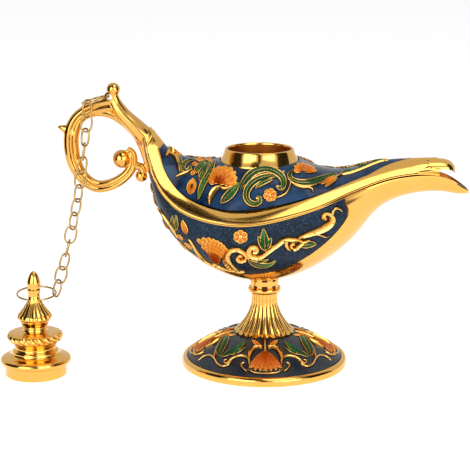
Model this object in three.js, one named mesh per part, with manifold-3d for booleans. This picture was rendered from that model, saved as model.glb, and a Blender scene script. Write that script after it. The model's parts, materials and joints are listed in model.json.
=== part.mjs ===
// Enamelled genie lamp with its stopper off, hanging on a chain.
// Millimetres, +Z up. The origin is the centre of the foot's underside, +X points along the spout.

import * as THREE from "three";
import { mergeVertices } from "three/addons/utils/BufferGeometryUtils.js";
import Module from "manifold-3d";

// Fits
const FIT = 0.3;

// Foot and stem
const FOOT_RADIUS = 28.2;
const FOOT_RIM_HEIGHT = 2.6;
const FOOT_HEIGHT = 22.8;
const FOOT_WALL = 1.8;
const FOOT_EDGE_ROUND = 1.2;
const FOOT_EDGE_DROP = 0.8;
const RECESS_MARGIN = 0.4;
const TRUMPET_TOP_RADIUS = 4.4;
const TRUMPET_EDGE_RADIUS = 10.2;
const TRUMPET_EDGE_HEIGHT = 11.6;
const KNOP_RADIUS = 5.9;
const KNOP_HEIGHT = 5.5;

// Screw that clamps foot, knop and bowl together
const SCREW_RADIUS = 1.6;
const SCREW_HEAD_RADIUS = 2.6;
const SCREW_HEAD_HEIGHT = 1.8;
const SCREW_ENGAGEMENT = 3.6;
const WASHER_RADIUS = 3.1;
const WASHER_THICKNESS = 0.7;
const BOSS_RADIUS = 5.2;
const BOSS_DROP = 0.5;

// Body shells
const BODY_LENGTH = 113.3;
const BODY_WIDTH = 48;
const BODY_RISE = 51;
const BOWL_WALL = 2.2;
const COVER_WALL = 2.0;
const COVER_CROWN = 3.4;
const BAND_LIP = 1.2;
const BAND_INSET = 3.6;
const BAND_RISE = 4.6;
const ENAMEL_THICKNESS = 0.5;
const TONGUE_LENGTH = 5.4;
const TONGUE_THICKNESS = 1.1;
const TONGUE_ROOT = 2.5;
const TONGUE_DROOP = 2.6;
const TONGUE_DEPTH = 3.2;
const SHOULDER_REACH = 16;

// Panels and band, in stations along the body and in shares of the way from its middle line to the rim
const PANEL_START = 1.9;
const PANEL_END_KEEL = 5.4;
const PANEL_END_RIM = 10.1;
const PANEL_SIDE = 0.98;
const COVER_PANEL_START = 1.0;
const COVER_PANEL_END = 12.6;
const BAND_SIDE = 0.78;
const LIP_SIDE = 0.94;
const PANEL_EDGE_SIDE = 0.004;
const COVER_EDGE_SIDE = 0.008;

// Mouth
const MOUTH_CENTRE_X = -1.9;
const MOUTH_RADIUS = 10.9;
const COLLAR_WALL = 1.1;
const COLLAR_BASE_RADIUS = 13.3;
const COLLAR_TOP_RADIUS = 12.4;
const COLLAR_HEIGHT = 4.3;
const COLLAR_SPIGOT = 2.2;
const COLLAR_SINK = 2.2;
const COLLAR_BEVEL = 0.4;

// Handle
const HANDLE_SCALE = 1;
const EYE_RADIUS = 1.0;
const SCROLL_BALL_RADIUS = 3.2;
const CURL_BALL_RADIUS = 2.1;
const ROOT_RUN = 1.6;

// Chain
const WIRE = 0.75;
const LINK_COUNT = 14;
const LINK_LENGTH = 6.547;
const LINK_WIDTH = 4.4;
const LINK_GAP = 0.3;
const CHAIN_BOW_DEGREES = 1.0;
const CHAIN_LEAN_DEGREES = 2.4;
const LINK_TWISTS = [135, 0, 45, 90, 135, 0, 45, 135, 45, 0, 90, 135, 0, 47];
const HANDLE_RING_RADIUS = 4.6;
const HANDLE_RING_TILT = 15;
const HANDLE_RING_HANG = 58;
const STOPPER_RING_RADIUS = 6.5;
const STOPPER_RING_TILT = 6;

// Stopper
const STOPPER_HEIGHT = 35.6;
const PLUG_HEIGHT = 4.3;
const PLUG_CLEARANCE = 0.7;
const STOPPER_FLANGE_RADIUS = 11.7;
const STOPPER_WALL = 1.2;
const STOPPER_DISC_RADIUS = 9.4;
const STOPPER_BELL_RADIUS = 5.9;
const STOPPER_NECK_RADIUS = 2.0;
const STOPPER_EYE_RADIUS = 1.0;
const STOPPER_EYE_AT = 0.675;
const FLANGE_BEVEL = 0.45;

// Ornament raised on the enamel
const RELIEF_RISE = 1.0;
const RELIEF_SINK = 0.45;
const RELIEF_WIDTH = 1.0;
const RELIEF_CREST = 0.6;

// Facets
const TURN_SEGMENTS = 28;
const SECTION_STEPS = 6;
const PANEL_ROWS = 13;
const SPOUT_ROWS = 10;
const COVER_PANEL_ROWS = 17;
const WIRE_SIDES = 6;
const RING_STEPS = 22;
const LINK_ARC_STEPS = 4;
const LIMB_SIDES = 10;
const STEP_EDGE = 0.04;
const SIDE_TRIM = 0.07;
const END_TRIM = 0.15;

// Finishes
const GOLD = { color: "#d69a3a", roughness: 0.2, metalness: 1 };
const PALE_GOLD = { color: "#c9a765", roughness: 0.3, metalness: 1 };
const STEEL = { color: "#9a9a98", roughness: 0.35, metalness: 1 };
const NAVY = { color: "#1c2f52", roughness: 0.25, metalness: 0 };
const BLUE = { color: "#2a4a86", roughness: 0.15, metalness: 0 };
const SLATE = { color: "#33475c", roughness: 0.3, metalness: 0 };

const wasm = await Module();
wasm.setup();

const part = new THREE.Group();
part.name = "genie_lamp";

// Length of the plain cutters that open eyes and the mouth.
const CUT = BODY_WIDTH;

// Helpers: geometry

const vector = (x, y, z) => new THREE.Vector3(x, y, z);
const radians = THREE.MathUtils.degToRad;
const mix = THREE.MathUtils.lerp;

function indexed(positions, triangles) {
  const geometry = new THREE.BufferGeometry();
  geometry.setAttribute("position", new THREE.Float32BufferAttribute(positions, 3));
  geometry.setIndex(triangles);
  return geometry;
}

function signedVolume(geometry) {
  const at = geometry.attributes.position;
  const index = geometry.index.array;
  const a = vector(0, 0, 0);
  const b = vector(0, 0, 0);
  const c = vector(0, 0, 0);
  let sum = 0;
  for (let i = 0; i < index.length; i += 3) {
    a.fromBufferAttribute(at, index[i]);
    b.fromBufferAttribute(at, index[i + 1]);
    c.fromBufferAttribute(at, index[i + 2]);
    sum += a.dot(b.cross(c)) / 6;
  }
  return sum;
}

// Welds a geometry, drops collapsed triangles and turns its faces outward.
function welded(source) {
  const bare = source.clone();
  bare.deleteAttribute("normal");
  bare.deleteAttribute("uv");
  const merged = mergeVertices(bare, 1e-4);
  const kept = [];
  const index = merged.index.array;
  for (let i = 0; i < index.length; i += 3) {
    const [a, b, c] = [index[i], index[i + 1], index[i + 2]];
    if (a !== b && b !== c && c !== a) {
      kept.push(a, b, c);
    }
  }
  merged.setIndex(kept);
  if (signedVolume(merged) < 0) {
    for (let i = 0; i < kept.length; i += 3) {
      [kept[i + 1], kept[i + 2]] = [kept[i + 2], kept[i + 1]];
    }
    merged.setIndex(kept);
  }
  return merged;
}

function solid(geometry) {
  const clean = welded(geometry);
  return new wasm.Manifold(new wasm.Mesh({
    numProp: 3,
    vertProperties: new Float32Array(clean.attributes.position.array),
    triVerts: new Uint32Array(clean.index.array),
  }));
}

function shape(body) {
  const mesh = body.getMesh();
  return indexed(Array.from(mesh.vertProperties), Array.from(mesh.triVerts));
}

// Joins a row of loops into one skin. The caps are triangles between the points of one loop.
function loft(loops, caps) {
  const count = loops[0].length;
  const positions = loops.flat().flatMap((p) => [p.x, p.y, p.z]);
  const triangles = [];
  const rows = caps ? loops.length - 1 : loops.length;
  for (let i = 0; i < rows; i += 1) {
    const here = i * count;
    const next = ((i + 1) % loops.length) * count;
    for (let j = 0; j < count; j += 1) {
      const k = (j + 1) % count;
      triangles.push(here + j, here + k, next + k, here + j, next + k, next + j);
    }
  }
  if (caps) {
    const last = (loops.length - 1) * count;
    for (const [a, b, c] of caps) {
      triangles.push(c, b, a, last + a, last + b, last + c);
    }
  }
  return indexed(positions, triangles);
}

// A plate between two skins, each given as rows of points; both skins split their cells the same way.
function plate(outer, inner) {
  const rows = outer.length - 1;
  const columns = outer[0].length - 1;
  const positions = [...outer.flat(), ...inner.flat()].flatMap((p) => [p.x, p.y, p.z]);
  const deep = positions.length / 6;
  const at = (i, j) => i * (columns + 1) + j;
  const triangles = [];
  const wall = (a, b) => triangles.push(a, a + deep, b + deep, a, b + deep, b);
  for (let i = 0; i < rows; i += 1) {
    for (let j = 0; j < columns; j += 1) {
      const [a, b, c, d] = [at(i, j), at(i, j + 1), at(i + 1, j + 1), at(i + 1, j)];
      triangles.push(a, b, c, a, c, d);
      triangles.push(a + deep, c + deep, b + deep, a + deep, d + deep, c + deep);
    }
    wall(at(i + 1, 0), at(i, 0));
    wall(at(i, columns), at(i + 1, columns));
  }
  for (let j = 0; j < columns; j += 1) {
    wall(at(0, j), at(0, j + 1));
    wall(at(rows, j + 1), at(rows, j));
  }
  return indexed(positions, triangles);
}

function turned(profile) {
  const points = profile.map(([r, z]) => new THREE.Vector2(r, z));
  return new THREE.LatheGeometry(points, TURN_SEGMENTS).rotateX(Math.PI / 2);
}

function cylinder(radius, bottom, top, segments = TURN_SEGMENTS) {
  return new THREE.CylinderGeometry(radius, radius, top - bottom, segments)
    .rotateX(Math.PI / 2)
    .translate(0, 0, (bottom + top) / 2);
}

// A bar along Y, for eyes that run across the lamp.
function crossBar(radius, length, x, y, z) {
  return new THREE.CylinderGeometry(radius, radius, length, LIMB_SIDES).translate(x, y, z);
}

// A limb swept along a path in the XZ plane: each stop is [x, z, half thickness, half width].
function limb(stops, steps) {
  const path = new THREE.CatmullRomCurve3(stops.map(([x, z]) => vector(x, 0, z)));
  const girth = new THREE.CatmullRomCurve3(stops.map(([, , thick, wide]) => vector(thick, wide, 0)));
  const loops = [];
  for (let i = 0; i <= steps; i += 1) {
    const at = path.getPoint(i / steps);
    const along = path.getTangent(i / steps);
    const across = vector(-along.z, 0, along.x);
    const size = girth.getPoint(i / steps);
    const loop = [];
    for (let k = 0; k < LIMB_SIDES; k += 1) {
      const angle = (2 * Math.PI * k) / LIMB_SIDES;
      loop.push(at.clone()
        .addScaledVector(across, size.x * Math.cos(angle))
        .add(vector(0, size.y * Math.sin(angle), 0)));
    }
    loops.push(loop);
  }
  const caps = [];
  for (let k = 1; k + 1 < LIMB_SIDES; k += 1) {
    caps.push([0, k, k + 1]);
  }
  return loft(loops, caps);
}

function ball(radius, x, z) {
  return new THREE.SphereGeometry(radius, LIMB_SIDES, LIMB_SIDES - 4)
    .rotateX(Math.PI / 2)
    .translate(x, 0, z);
}

// A closed wire through the given centres, which lie in one plane.
function wireLoop(centres, planeNormal) {
  const count = centres.length;
  const loops = centres.map((centre, i) => {
    const before = centres[(i + count - 1) % count];
    const after = centres[(i + 1) % count];
    const along = after.clone().sub(before).normalize();
    const across = along.clone().cross(planeNormal);
    const loop = [];
    for (let k = 0; k < WIRE_SIDES; k += 1) {
      const angle = (2 * Math.PI * k) / WIRE_SIDES;
      loop.push(centre.clone()
        .addScaledVector(across, (WIRE / 2) * Math.cos(angle))
        .addScaledVector(planeNormal, (WIRE / 2) * Math.sin(angle)));
    }
    return loop;
  });
  return loft(loops, null);
}

// A low ridge along a line on a surface, given as stops of [first, second, half width].
function reliefForm(pointAt, outward, stops) {
  const step = 0.01;
  const centres = stops.map(([first, second]) => pointAt(first, second));
  const loops = stops.map(([first, second, share], i) => {
    const here = centres[i];
    const before = centres[Math.max(i - 1, 0)];
    const after = centres[Math.min(i + 1, centres.length - 1)];
    const firstWay = pointAt(first + step, second).sub(here);
    const secondWay = pointAt(first, second + step).sub(here);
    const normal = firstWay.cross(secondWay).normalize();
    normal.multiplyScalar(Math.sign(normal.dot(outward(here))));
    const across = after.clone().sub(before).cross(normal).normalize();
    const half = RELIEF_WIDTH * share;
    const rise = Math.min(RELIEF_RISE, half + RELIEF_SINK / 2);
    const corners = [[-1, -RELIEF_SINK], [-RELIEF_CREST, rise], [RELIEF_CREST, rise], [1, -RELIEF_SINK]];
    return corners.map(([out, up]) => (
      here.clone().addScaledVector(across, out * half).addScaledVector(normal, up)
    ));
  });
  return solid(loft(loops, [[0, 1, 2], [0, 2, 3]]));
}

// Forms raised on a plate of enamel, and cut off where they would reach into the bed under it.
function withRelief(enamel, bed, pointAt, outward, forms) {
  const raise = (sum, stops) => sum.add(reliefForm(pointAt, outward, stops));
  return forms.reduce(raise, enamel).subtract(bed);
}

const mirrored = (forms) => forms.map((stops) => (
  stops.map(([first, second, share]) => [first, -second, share])
));
const upward = () => vector(0, 0, 1);

function add(name, geometry, finish) {
  const clean = welded(geometry);
  clean.computeVertexNormals();
  const mesh = new THREE.Mesh(clean, new THREE.MeshStandardMaterial(finish));
  mesh.name = name;
  part.add(mesh);
  return mesh;
}

// Foot: a saucer and a trumpet stem in one casting, with the enamel laid into a ring-shaped recess

const DISC_EDGE = FOOT_RADIUS - FOOT_EDGE_ROUND;
const ENAMEL_STEP = ENAMEL_THICKNESS + FIT;
const ENAMEL_INNER = TRUMPET_EDGE_RADIUS + RECESS_MARGIN;

function footTop(radius) {
  const f = (DISC_EDGE - radius) / (DISC_EDGE - TRUMPET_EDGE_RADIUS);
  const rise = TRUMPET_EDGE_HEIGHT - FOOT_RIM_HEIGHT - FOOT_EDGE_DROP;
  return FOOT_RIM_HEIGHT + rise * (0.35 * f + 0.65 * Math.sin((Math.PI / 2) * f));
}

function trumpet(f) {
  const flare = Math.pow(1 - f, 2.2);
  return [
    mix(TRUMPET_TOP_RADIUS, TRUMPET_EDGE_RADIUS, flare),
    mix(TRUMPET_EDGE_HEIGHT, FOOT_HEIGHT, f),
  ];
}

const fractions = (count) => Array.from({ length: count + 1 }, (_, i) => i / count);
const discRadii = fractions(5).map((f) => mix(DISC_EDGE - RECESS_MARGIN, ENAMEL_INNER, f));
const screwSeat = mix(TRUMPET_EDGE_HEIGHT, FOOT_HEIGHT, 0.42);
const seatRadius = WASHER_RADIUS + FIT;
const shankHole = SCREW_RADIUS + FIT;

const footProfile = [
  [FOOT_RADIUS - FOOT_WALL, 0],
  [FOOT_RADIUS, 0],
  [FOOT_RADIUS, FOOT_RIM_HEIGHT - FOOT_EDGE_DROP],
  [DISC_EDGE, footTop(DISC_EDGE)],
  ...discRadii.map((r) => [r, footTop(r) - ENAMEL_STEP]),
  [ENAMEL_INNER - STEP_EDGE, footTop(ENAMEL_INNER)],
  [TRUMPET_EDGE_RADIUS, footTop(TRUMPET_EDGE_RADIUS)],
  ...fractions(7).map(trumpet),
  [shankHole, FOOT_HEIGHT],
  [shankHole, screwSeat],
  [seatRadius, screwSeat],
  [seatRadius, footTop(ENAMEL_INNER) - ENAMEL_STEP - FOOT_WALL],
  ...discRadii.slice(0, 5).reverse().map((r) => [r - FOOT_WALL, footTop(r) - ENAMEL_STEP - FOOT_WALL]),
].map(([r, z]) => [r, Math.max(z, 0)]);
add("foot", turned([...footProfile, footProfile[0]]), GOLD);

const footEnamelOuter = DISC_EDGE - RECESS_MARGIN - FIT;
const footEnamelRadii = fractions(5).map((f) => mix(footEnamelOuter, ENAMEL_INNER + FIT, f));
const footEnamelProfile = [
  ...footEnamelRadii.map((r) => [r, footTop(r)]),
  ...[...footEnamelRadii].reverse().map((r) => [r, footTop(r) - ENAMEL_THICKNESS]),
];

// Ornament of the foot, by the share of the way out to the rim and by degrees from the front
const FOOT_BELLS = [
  [[0.35, 0, 0.5], [0.51, 0, 2.2], [0.7, 0, 4.2], [0.83, 0, 5.2]],
  [[0.08, 0, 0.5], [0.2, 0, 0.6], [0.36, 0, 0.6]],
];
const FOOT_LEAVES = [
  [[0.33, 3, 0.35], [0.21, 11, 0.8], [0.1, 20, 0.35]],
  [[0.36, 2, 0.4], [0.44, 10.4, 0.8], [0.63, 14.4, 0.35]],
  [[0.68, 43, 0.5], [0.45, 38, 1.6], [0.24, 33, 1.4], [0.09, 29, 0.4]],
  [[0.67, 43.6, 0.5], [0.45, 45.8, 1.4], [0.18, 44, 0.4]],
  [[0.79, 38, 0.5], [0.66, 34, 0.55], [0.54, 26, 0.6], [0.6, 18.5, 0.5], [0.73, 16, 0.4]],
];
const footPoint = (share, degrees) => {
  const radius = mix(ENAMEL_INNER, DISC_EDGE, share);
  return vector(radius * Math.sin(radians(degrees)), -radius * Math.cos(radians(degrees)), footTop(radius));
};
const footQuarter = [...FOOT_BELLS, ...FOOT_LEAVES, ...mirrored(FOOT_LEAVES)];
const footForms = [0, 90, 180, 270].flatMap((turn) => footQuarter.map((stops) => (
  stops.map(([share, degrees, half]) => [share, turn + degrees, half])
)));
const footEnamel = solid(turned([...footEnamelProfile, footEnamelProfile[0]]));
const footBed = footEnamel.translate([0, 0, -ENAMEL_THICKNESS]);
add("foot_enamel", shape(withRelief(footEnamel, footBed, footPoint, upward, footForms)), SLATE);

// Knop: the ringed collar between the trumpet and the bowl

const knopBottom = FOOT_HEIGHT + FIT;
const knopTop = knopBottom + KNOP_HEIGHT;
const knopProfile = [
  [shankHole, knopBottom],
  [TRUMPET_TOP_RADIUS, knopBottom],
  [KNOP_RADIUS * 0.9, mix(knopBottom, knopTop, 0.1)],
  [KNOP_RADIUS, mix(knopBottom, knopTop, 0.25)],
  [KNOP_RADIUS * 0.9, mix(knopBottom, knopTop, 0.4)],
  [KNOP_RADIUS * 0.84, mix(knopBottom, knopTop, 0.6)],
  [KNOP_RADIUS * 0.88, knopTop],
  [shankHole, knopTop],
];
add("stem_knop", turned([...knopProfile, knopProfile[0]]), GOLD);

// Body lines, drawn for the nominal size: where each cross-section crosses keel, rim and ridge.
// Heights count from the lowest point of the keel; the rim also carries the half width.

const DRAWN_LENGTH = 113.3;
const DRAWN_WIDTH = 48;
const DRAWN_RISE = 51;
const KEEL_LINE = [
  [-44.6, 46.2], [-41.5, 40.1], [-38.6, 33.1], [-36.2, 25.2], [-31.5, 16.2], [-22.5, 7.4],
  [-10, 1.0], [2, 0], [13, 3.0], [23.5, 9.2], [31.5, 16.6], [37.4, 24.8],
  [45.2, 28.9], [53, 30.5], [60, 30.6], [64.8, 29.6], [68.5, 29.9],
];
const RIM_LINE = [
  [-40, 4.4, 49.6], [-38.4, 6.8, 45.7], [-36.6, 10.2, 40.8], [-33.6, 14.2, 33.9], [-28.4, 18.6, 28.2],
  [-19.7, 22.4, 24.8], [-8.6, 24, 23.6], [1.2, 23.6, 24.5], [11, 21.9, 26.6], [19, 19, 28.8],
  [26.5, 14.6, 31.2], [34.4, 10.6, 33.8], [42, 8.2, 36], [51, 6.6, 37], [58, 6, 36.6],
  [63.4, 4.8, 34.4], [68.0, 2.4, 31.4],
];
const RIDGE_LINE = [
  [-37.6, 51], [-34.6, 48], [-31.5, 45.1], [-28.5, 43.9], [-24, 42.8], [-16.5, 42.2],
  [-8, 42.6], [0.5, 42.6], [10, 42.2], [18, 39], [26, 37.9], [34, 40],
  [42, 41.9], [51, 42.5], [58.2, 42.8],
];

const bossBottom = knopTop + FIT;
const keelBase = bossBottom + BOSS_DROP;
const alongScale = BODY_LENGTH / DRAWN_LENGTH;
const widthScale = BODY_WIDTH / DRAWN_WIDTH;
const riseScale = BODY_RISE / DRAWN_RISE;
const placed = (x, y, z) => vector(x * alongScale, y * widthScale, keelBase + z * riseScale);
const keelCurve = new THREE.CatmullRomCurve3(KEEL_LINE.map(([x, z]) => placed(x, 0, z)));
const rimCurve = new THREE.CatmullRomCurve3(RIM_LINE.map(([x, y, z]) => placed(x, y, z)));
const ridgeCurve = new THREE.CatmullRomCurve3(RIDGE_LINE.map(([x, z]) => placed(x, 0, z)));
const LAST_BOWL = KEEL_LINE.length - 1;
const LAST_COVER = RIDGE_LINE.length - 1;

// One cross-section: its points on the keel, rim and ridge, and the half width at the rim.
function section(station) {
  const rim = rimCurve.getPoint(Math.min(station / LAST_BOWL, 1));
  return {
    keel: keelCurve.getPoint(Math.min(station / LAST_BOWL, 1)),
    ridge: ridgeCurve.getPoint(Math.min(station / LAST_COVER, 1)),
    rim: vector(rim.x, 0, rim.z),
    half: rim.y,
  };
}

// Bowl: side runs from -1 on one rim over the keel at 0 to +1 on the other rim.
function bowlPoint(station, side, inset) {
  const { keel, rim, half } = section(station);
  const up = rim.clone().sub(keel);
  const depth = up.length();
  const bottom = Math.min(inset, 0.5 * depth);
  const wide = Math.max(half - inset, 0.3 * half);
  const angle = (Math.PI / 2) * side;
  const point = keel.addScaledVector(up, (bottom + (depth - bottom) * (1 - Math.cos(angle))) / depth);
  point.y = wide * Math.sin(angle);
  return point;
}

// Cover: side runs from -1 on one rim over the ridge at 0 to +1 on the other rim.
function coverPoint(station, side, inset, crown) {
  const { ridge, rim, half } = section(station);
  const up = ridge.clone().sub(rim);
  const height = up.length();
  up.normalize();
  const wide = Math.max(half - inset, 0.3 * half);
  const top = Math.max(height - crown, 0.4 * height);
  const bandWide = wide - Math.min(BAND_INSET, 0.45 * wide);
  const bandTop = Math.min(BAND_RISE, 0.75 * top);
  const lip = Math.min(BAND_LIP, 0.3 * top);
  const reach = Math.abs(side);
  const fullness = 2 + 2.5 * Math.exp(-Math.pow((rim.x - MOUTH_CENTRE_X) / SHOULDER_REACH, 2));
  let y = bandWide * (reach / BAND_SIDE);
  let rise = bandTop + (top - bandTop) * (1 - Math.pow(reach / BAND_SIDE, fullness));
  if (reach > BAND_SIDE) {
    const f = Math.min((reach - BAND_SIDE) / (LIP_SIDE - BAND_SIDE), 1);
    y = mix(bandWide, wide, f);
    rise = mix(bandTop, lip, f);
  }
  if (reach >= 1) {
    y = wide;
    rise = FIT;
  }
  const point = rim.addScaledVector(up, rise);
  point.y = Math.sign(side) * y;
  return point;
}

// Bowl casting with a recess for the enamel; the panel's end sweeps back from the rim to the keel.

function panelEnd(side) {
  return mix(PANEL_END_KEEL, PANEL_END_RIM, Math.sin((Math.PI / 2) * Math.abs(side)));
}

const sideSteps = (limit, count) => fractions(2 * count).map((f) => mix(-limit, limit, f));
const panelEdge = PANEL_SIDE + PANEL_EDGE_SIDE;
const bowlSides = [-1, -panelEdge, ...sideSteps(PANEL_SIDE, SECTION_STEPS), panelEdge, 1];
const inPanel = (side) => Math.abs(side) <= PANEL_SIDE;

function bowlRows() {
  const rows = [{ at: () => 0, sunk: false }, { at: () => PANEL_START - STEP_EDGE, sunk: false }];
  for (const f of fractions(PANEL_ROWS)) {
    rows.push({ at: (side) => mix(PANEL_START, panelEnd(side), f), sunk: true });
  }
  rows.push({ at: (side) => panelEnd(side) + STEP_EDGE, sunk: false });
  for (const f of fractions(SPOUT_ROWS).slice(1)) {
    rows.push({ at: (side) => mix(panelEnd(side) + STEP_EDGE, LAST_BOWL, f), sunk: false });
  }
  return rows;
}

const bowlOuter = bowlRows().map(({ at, sunk }) => bowlSides.map((side) => (
  bowlPoint(at(side), side, sunk && inPanel(side) ? ENAMEL_STEP : 0)
)));
const bowlInner = bowlRows().map(({ at }) => bowlSides.map((side) => {
  const spout = THREE.MathUtils.smoothstep(at(side), PANEL_END_RIM, LAST_BOWL - 2);
  return bowlPoint(at(side), side, mix(BOWL_WALL, 0.5 * BOWL_WALL, spout));
}));

const shankTop = bossBottom + BOSS_DROP + BOWL_WALL + SCREW_ENGAGEMENT;
const bowlBody = solid(plate(bowlOuter, bowlInner))
  .add(solid(cylinder(BOSS_RADIUS, bossBottom, keelBase + 0.7 * BOWL_WALL)))
  .add(solid(cylinder(BOSS_RADIUS * 0.8, keelBase + 0.3 * BOWL_WALL, shankTop + BOWL_WALL)))
  .subtract(solid(cylinder(shankHole, bossBottom - FIT, shankTop + FIT)));
add("bowl", shape(bowlBody), GOLD);

// The enamel shares the recess's grid, drawn in a little at its edges.
const trimmed = (steps, edge) => steps.map((step, i) => {
  const inner = steps[i === 0 ? 1 : steps.length - 2];
  return i === 0 || i === steps.length - 1 ? mix(step, inner, edge) : step;
});
const enamelSides = trimmed(sideSteps(PANEL_SIDE, SECTION_STEPS), SIDE_TRIM);
function bowlEnamelSkin(inset) {
  return trimmed(fractions(PANEL_ROWS), END_TRIM).map((f) => enamelSides.map((side) => (
    bowlPoint(mix(PANEL_START, panelEnd(side), f), side, inset)
  )));
}

// Ornament of the bowl's near side, by station and side: vine, C-scroll, leaves, thistle head and flower
const BOWL_RELIEF = [
  [[9.55, -0.88, 0.3], [9.37, -0.92, 0.5], [9.18, -0.88, 0.5]],
  [[8.92, -0.9, 0.8], [8.97, -0.92, 1.0], [9.12, -0.86, 1.3], [8.61, -0.81, 1.1], [7.9, -0.8, 0.6]],
  [[8, -0.77, 0.5], [7.5, -0.82, 0.8], [7, -0.78, 0.8], [6.6, -0.7, 0.9], [6.3, -0.76, 0.9], [6.5, -0.82, 0.6]],
  [[6.81, -0.76, 0.5], [6.8, -0.86, 1.5], [6.77, -0.93, 0.5]],
  [[7.92, -0.73, 0.4], [8.18, -0.71, 1.2], [8.44, -0.67, 0.4]],
  [[6.34, -0.66, 0.4], [6.71, -0.61, 1.2], [7.12, -0.64, 0.4]],
  [[5.9, -0.9, 1.4], [6.08, -0.9, 2.2], [6.26, -0.9, 1.4]],
  [[6.3, -0.69, 0.5], [6, -0.76, 0.9], [5.8, -0.7, 1.4], [5.8, -0.59, 1.4], [6, -0.5, 0.8], [6.2, -0.49, 0.4]],
  [[5.45, -0.47, 0.6], [5.31, -0.62, 2.9], [5.22, -0.7, 4.0], [5.16, -0.76, 3.4]],
  [[3.2, -0.36, 0.4], [3.8, -0.56, 0.5], [4.5, -0.57, 0.6], [5, -0.48, 0.6], [5.5, -0.41, 0.6], [5.9, -0.35, 0.4]],
  [[4.46, -0.72, 0.4], [4.36, -0.8, 1.0], [4.25, -0.88, 0.4]],
];
const onBowl = (station, side) => bowlPoint(station, side, 0);
const sideways = (point) => vector(0, point.y, 0);
const bowlForms = [...BOWL_RELIEF, ...mirrored(BOWL_RELIEF)];
const bowlEnamel = solid(plate(bowlEnamelSkin(0), bowlEnamelSkin(ENAMEL_THICKNESS)));
const bowlBed = solid(plate(bowlEnamelSkin(ENAMEL_THICKNESS), bowlEnamelSkin(2 * ENAMEL_THICKNESS)));
add("bowl_enamel", shape(withRelief(bowlEnamel, bowlBed, onBowl, sideways, bowlForms)), NAVY);

// Screw and washer, put in from below

add("foot_washer", turned([
  [shankHole, screwSeat - FIT],
  [WASHER_RADIUS, screwSeat - FIT],
  [WASHER_RADIUS, screwSeat - FIT - WASHER_THICKNESS],
  [shankHole, screwSeat - FIT - WASHER_THICKNESS],
  [shankHole, screwSeat - FIT],
]), STEEL);

const headTop = screwSeat - 2 * FIT - WASHER_THICKNESS;
add("foot_screw", turned([
  [0, headTop - SCREW_HEAD_HEIGHT],
  [0.8 * SCREW_HEAD_RADIUS, headTop - SCREW_HEAD_HEIGHT],
  [SCREW_HEAD_RADIUS, headTop - 0.6 * SCREW_HEAD_HEIGHT],
  [SCREW_HEAD_RADIUS, headTop],
  [SCREW_RADIUS, headTop],
  [SCREW_RADIUS, shankTop],
  [0, shankTop],
]), STEEL);

// Cover casting: rim band, dome and the roof of the spout with its tongue

const bandEdge = BAND_SIDE + COVER_EDGE_SIDE;
const coverSides = [-1, -LIP_SIDE, -bandEdge, ...sideSteps(BAND_SIDE, SECTION_STEPS), bandEdge, LIP_SIDE, 1];

function coverRows() {
  const rows = [{ at: 0, sunk: false }, { at: COVER_PANEL_START - STEP_EDGE, sunk: false }];
  for (const f of fractions(COVER_PANEL_ROWS)) {
    rows.push({ at: mix(COVER_PANEL_START, COVER_PANEL_END, f), sunk: true });
  }
  rows.push({ at: COVER_PANEL_END + STEP_EDGE, sunk: false });
  rows.push({ at: mix(COVER_PANEL_END, LAST_COVER, 0.5), sunk: false });
  rows.push({ at: LAST_COVER, sunk: false });
  return rows;
}

function coverSkin(inset, crown, sinks) {
  return coverRows().map(({ at, sunk }) => coverSides.map((side) => {
    const step = sinks && sunk && Math.abs(side) <= BAND_SIDE ? ENAMEL_STEP : 0;
    return coverPoint(at, side, inset + step, crown + step);
  }));
}

const MOUTH_STATION = 6.5;
const mouthCrown = section(MOUTH_STATION).ridge.z;
const collarSeat = mouthCrown - COLLAR_SINK;
const spigotRadius = MOUTH_RADIUS + COLLAR_WALL;
const atMouth = (geometry) => solid(geometry.translate(MOUTH_CENTRE_X, 0, 0));

const spoutEnd = section(LAST_COVER);
const tongueHalf = spoutEnd.half - COVER_WALL - FIT;
const tongueTop = spoutEnd.ridge.z - 0.6 * COVER_WALL;
function tongueSkin(drop) {
  return fractions(5).map((f) => fractions(6).map((g) => {
    const angle = mix(-0.5, 0.5, g) * Math.PI;
    const reach = mix(-TONGUE_ROOT, TONGUE_LENGTH * Math.sqrt(Math.cos(0.6 * angle)), f);
    const narrow = 1 - 0.35 * f * f;
    return vector(
      spoutEnd.ridge.x + reach,
      (tongueHalf - drop) * narrow * Math.sin(angle),
      tongueTop - drop - TONGUE_DROOP * f * f - (TONGUE_DEPTH - drop) * narrow * (1 - Math.cos(angle)),
    );
  }));
}

const coverBody = solid(plate(coverSkin(0, 0, true), coverSkin(COVER_WALL, COVER_CROWN, false)))
  .add(solid(plate(tongueSkin(0), tongueSkin(TONGUE_THICKNESS))))
  .subtract(atMouth(cylinder(spigotRadius + FIT, section(MOUTH_STATION).rim.z, collarSeat + CUT)))
  .subtract(atMouth(cylinder(COLLAR_BASE_RADIUS + FIT, collarSeat, collarSeat + CUT)));
add("cover", shape(coverBody), GOLD);

const coverEnamelSides = trimmed(sideSteps(BAND_SIDE, SECTION_STEPS), SIDE_TRIM);
function coverEnamelSkin(inset) {
  return trimmed(fractions(COVER_PANEL_ROWS), END_TRIM).map((f) => coverEnamelSides.map((side) => (
    coverPoint(mix(COVER_PANEL_START, COVER_PANEL_END, f), side, inset, inset)
  )));
}

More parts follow.
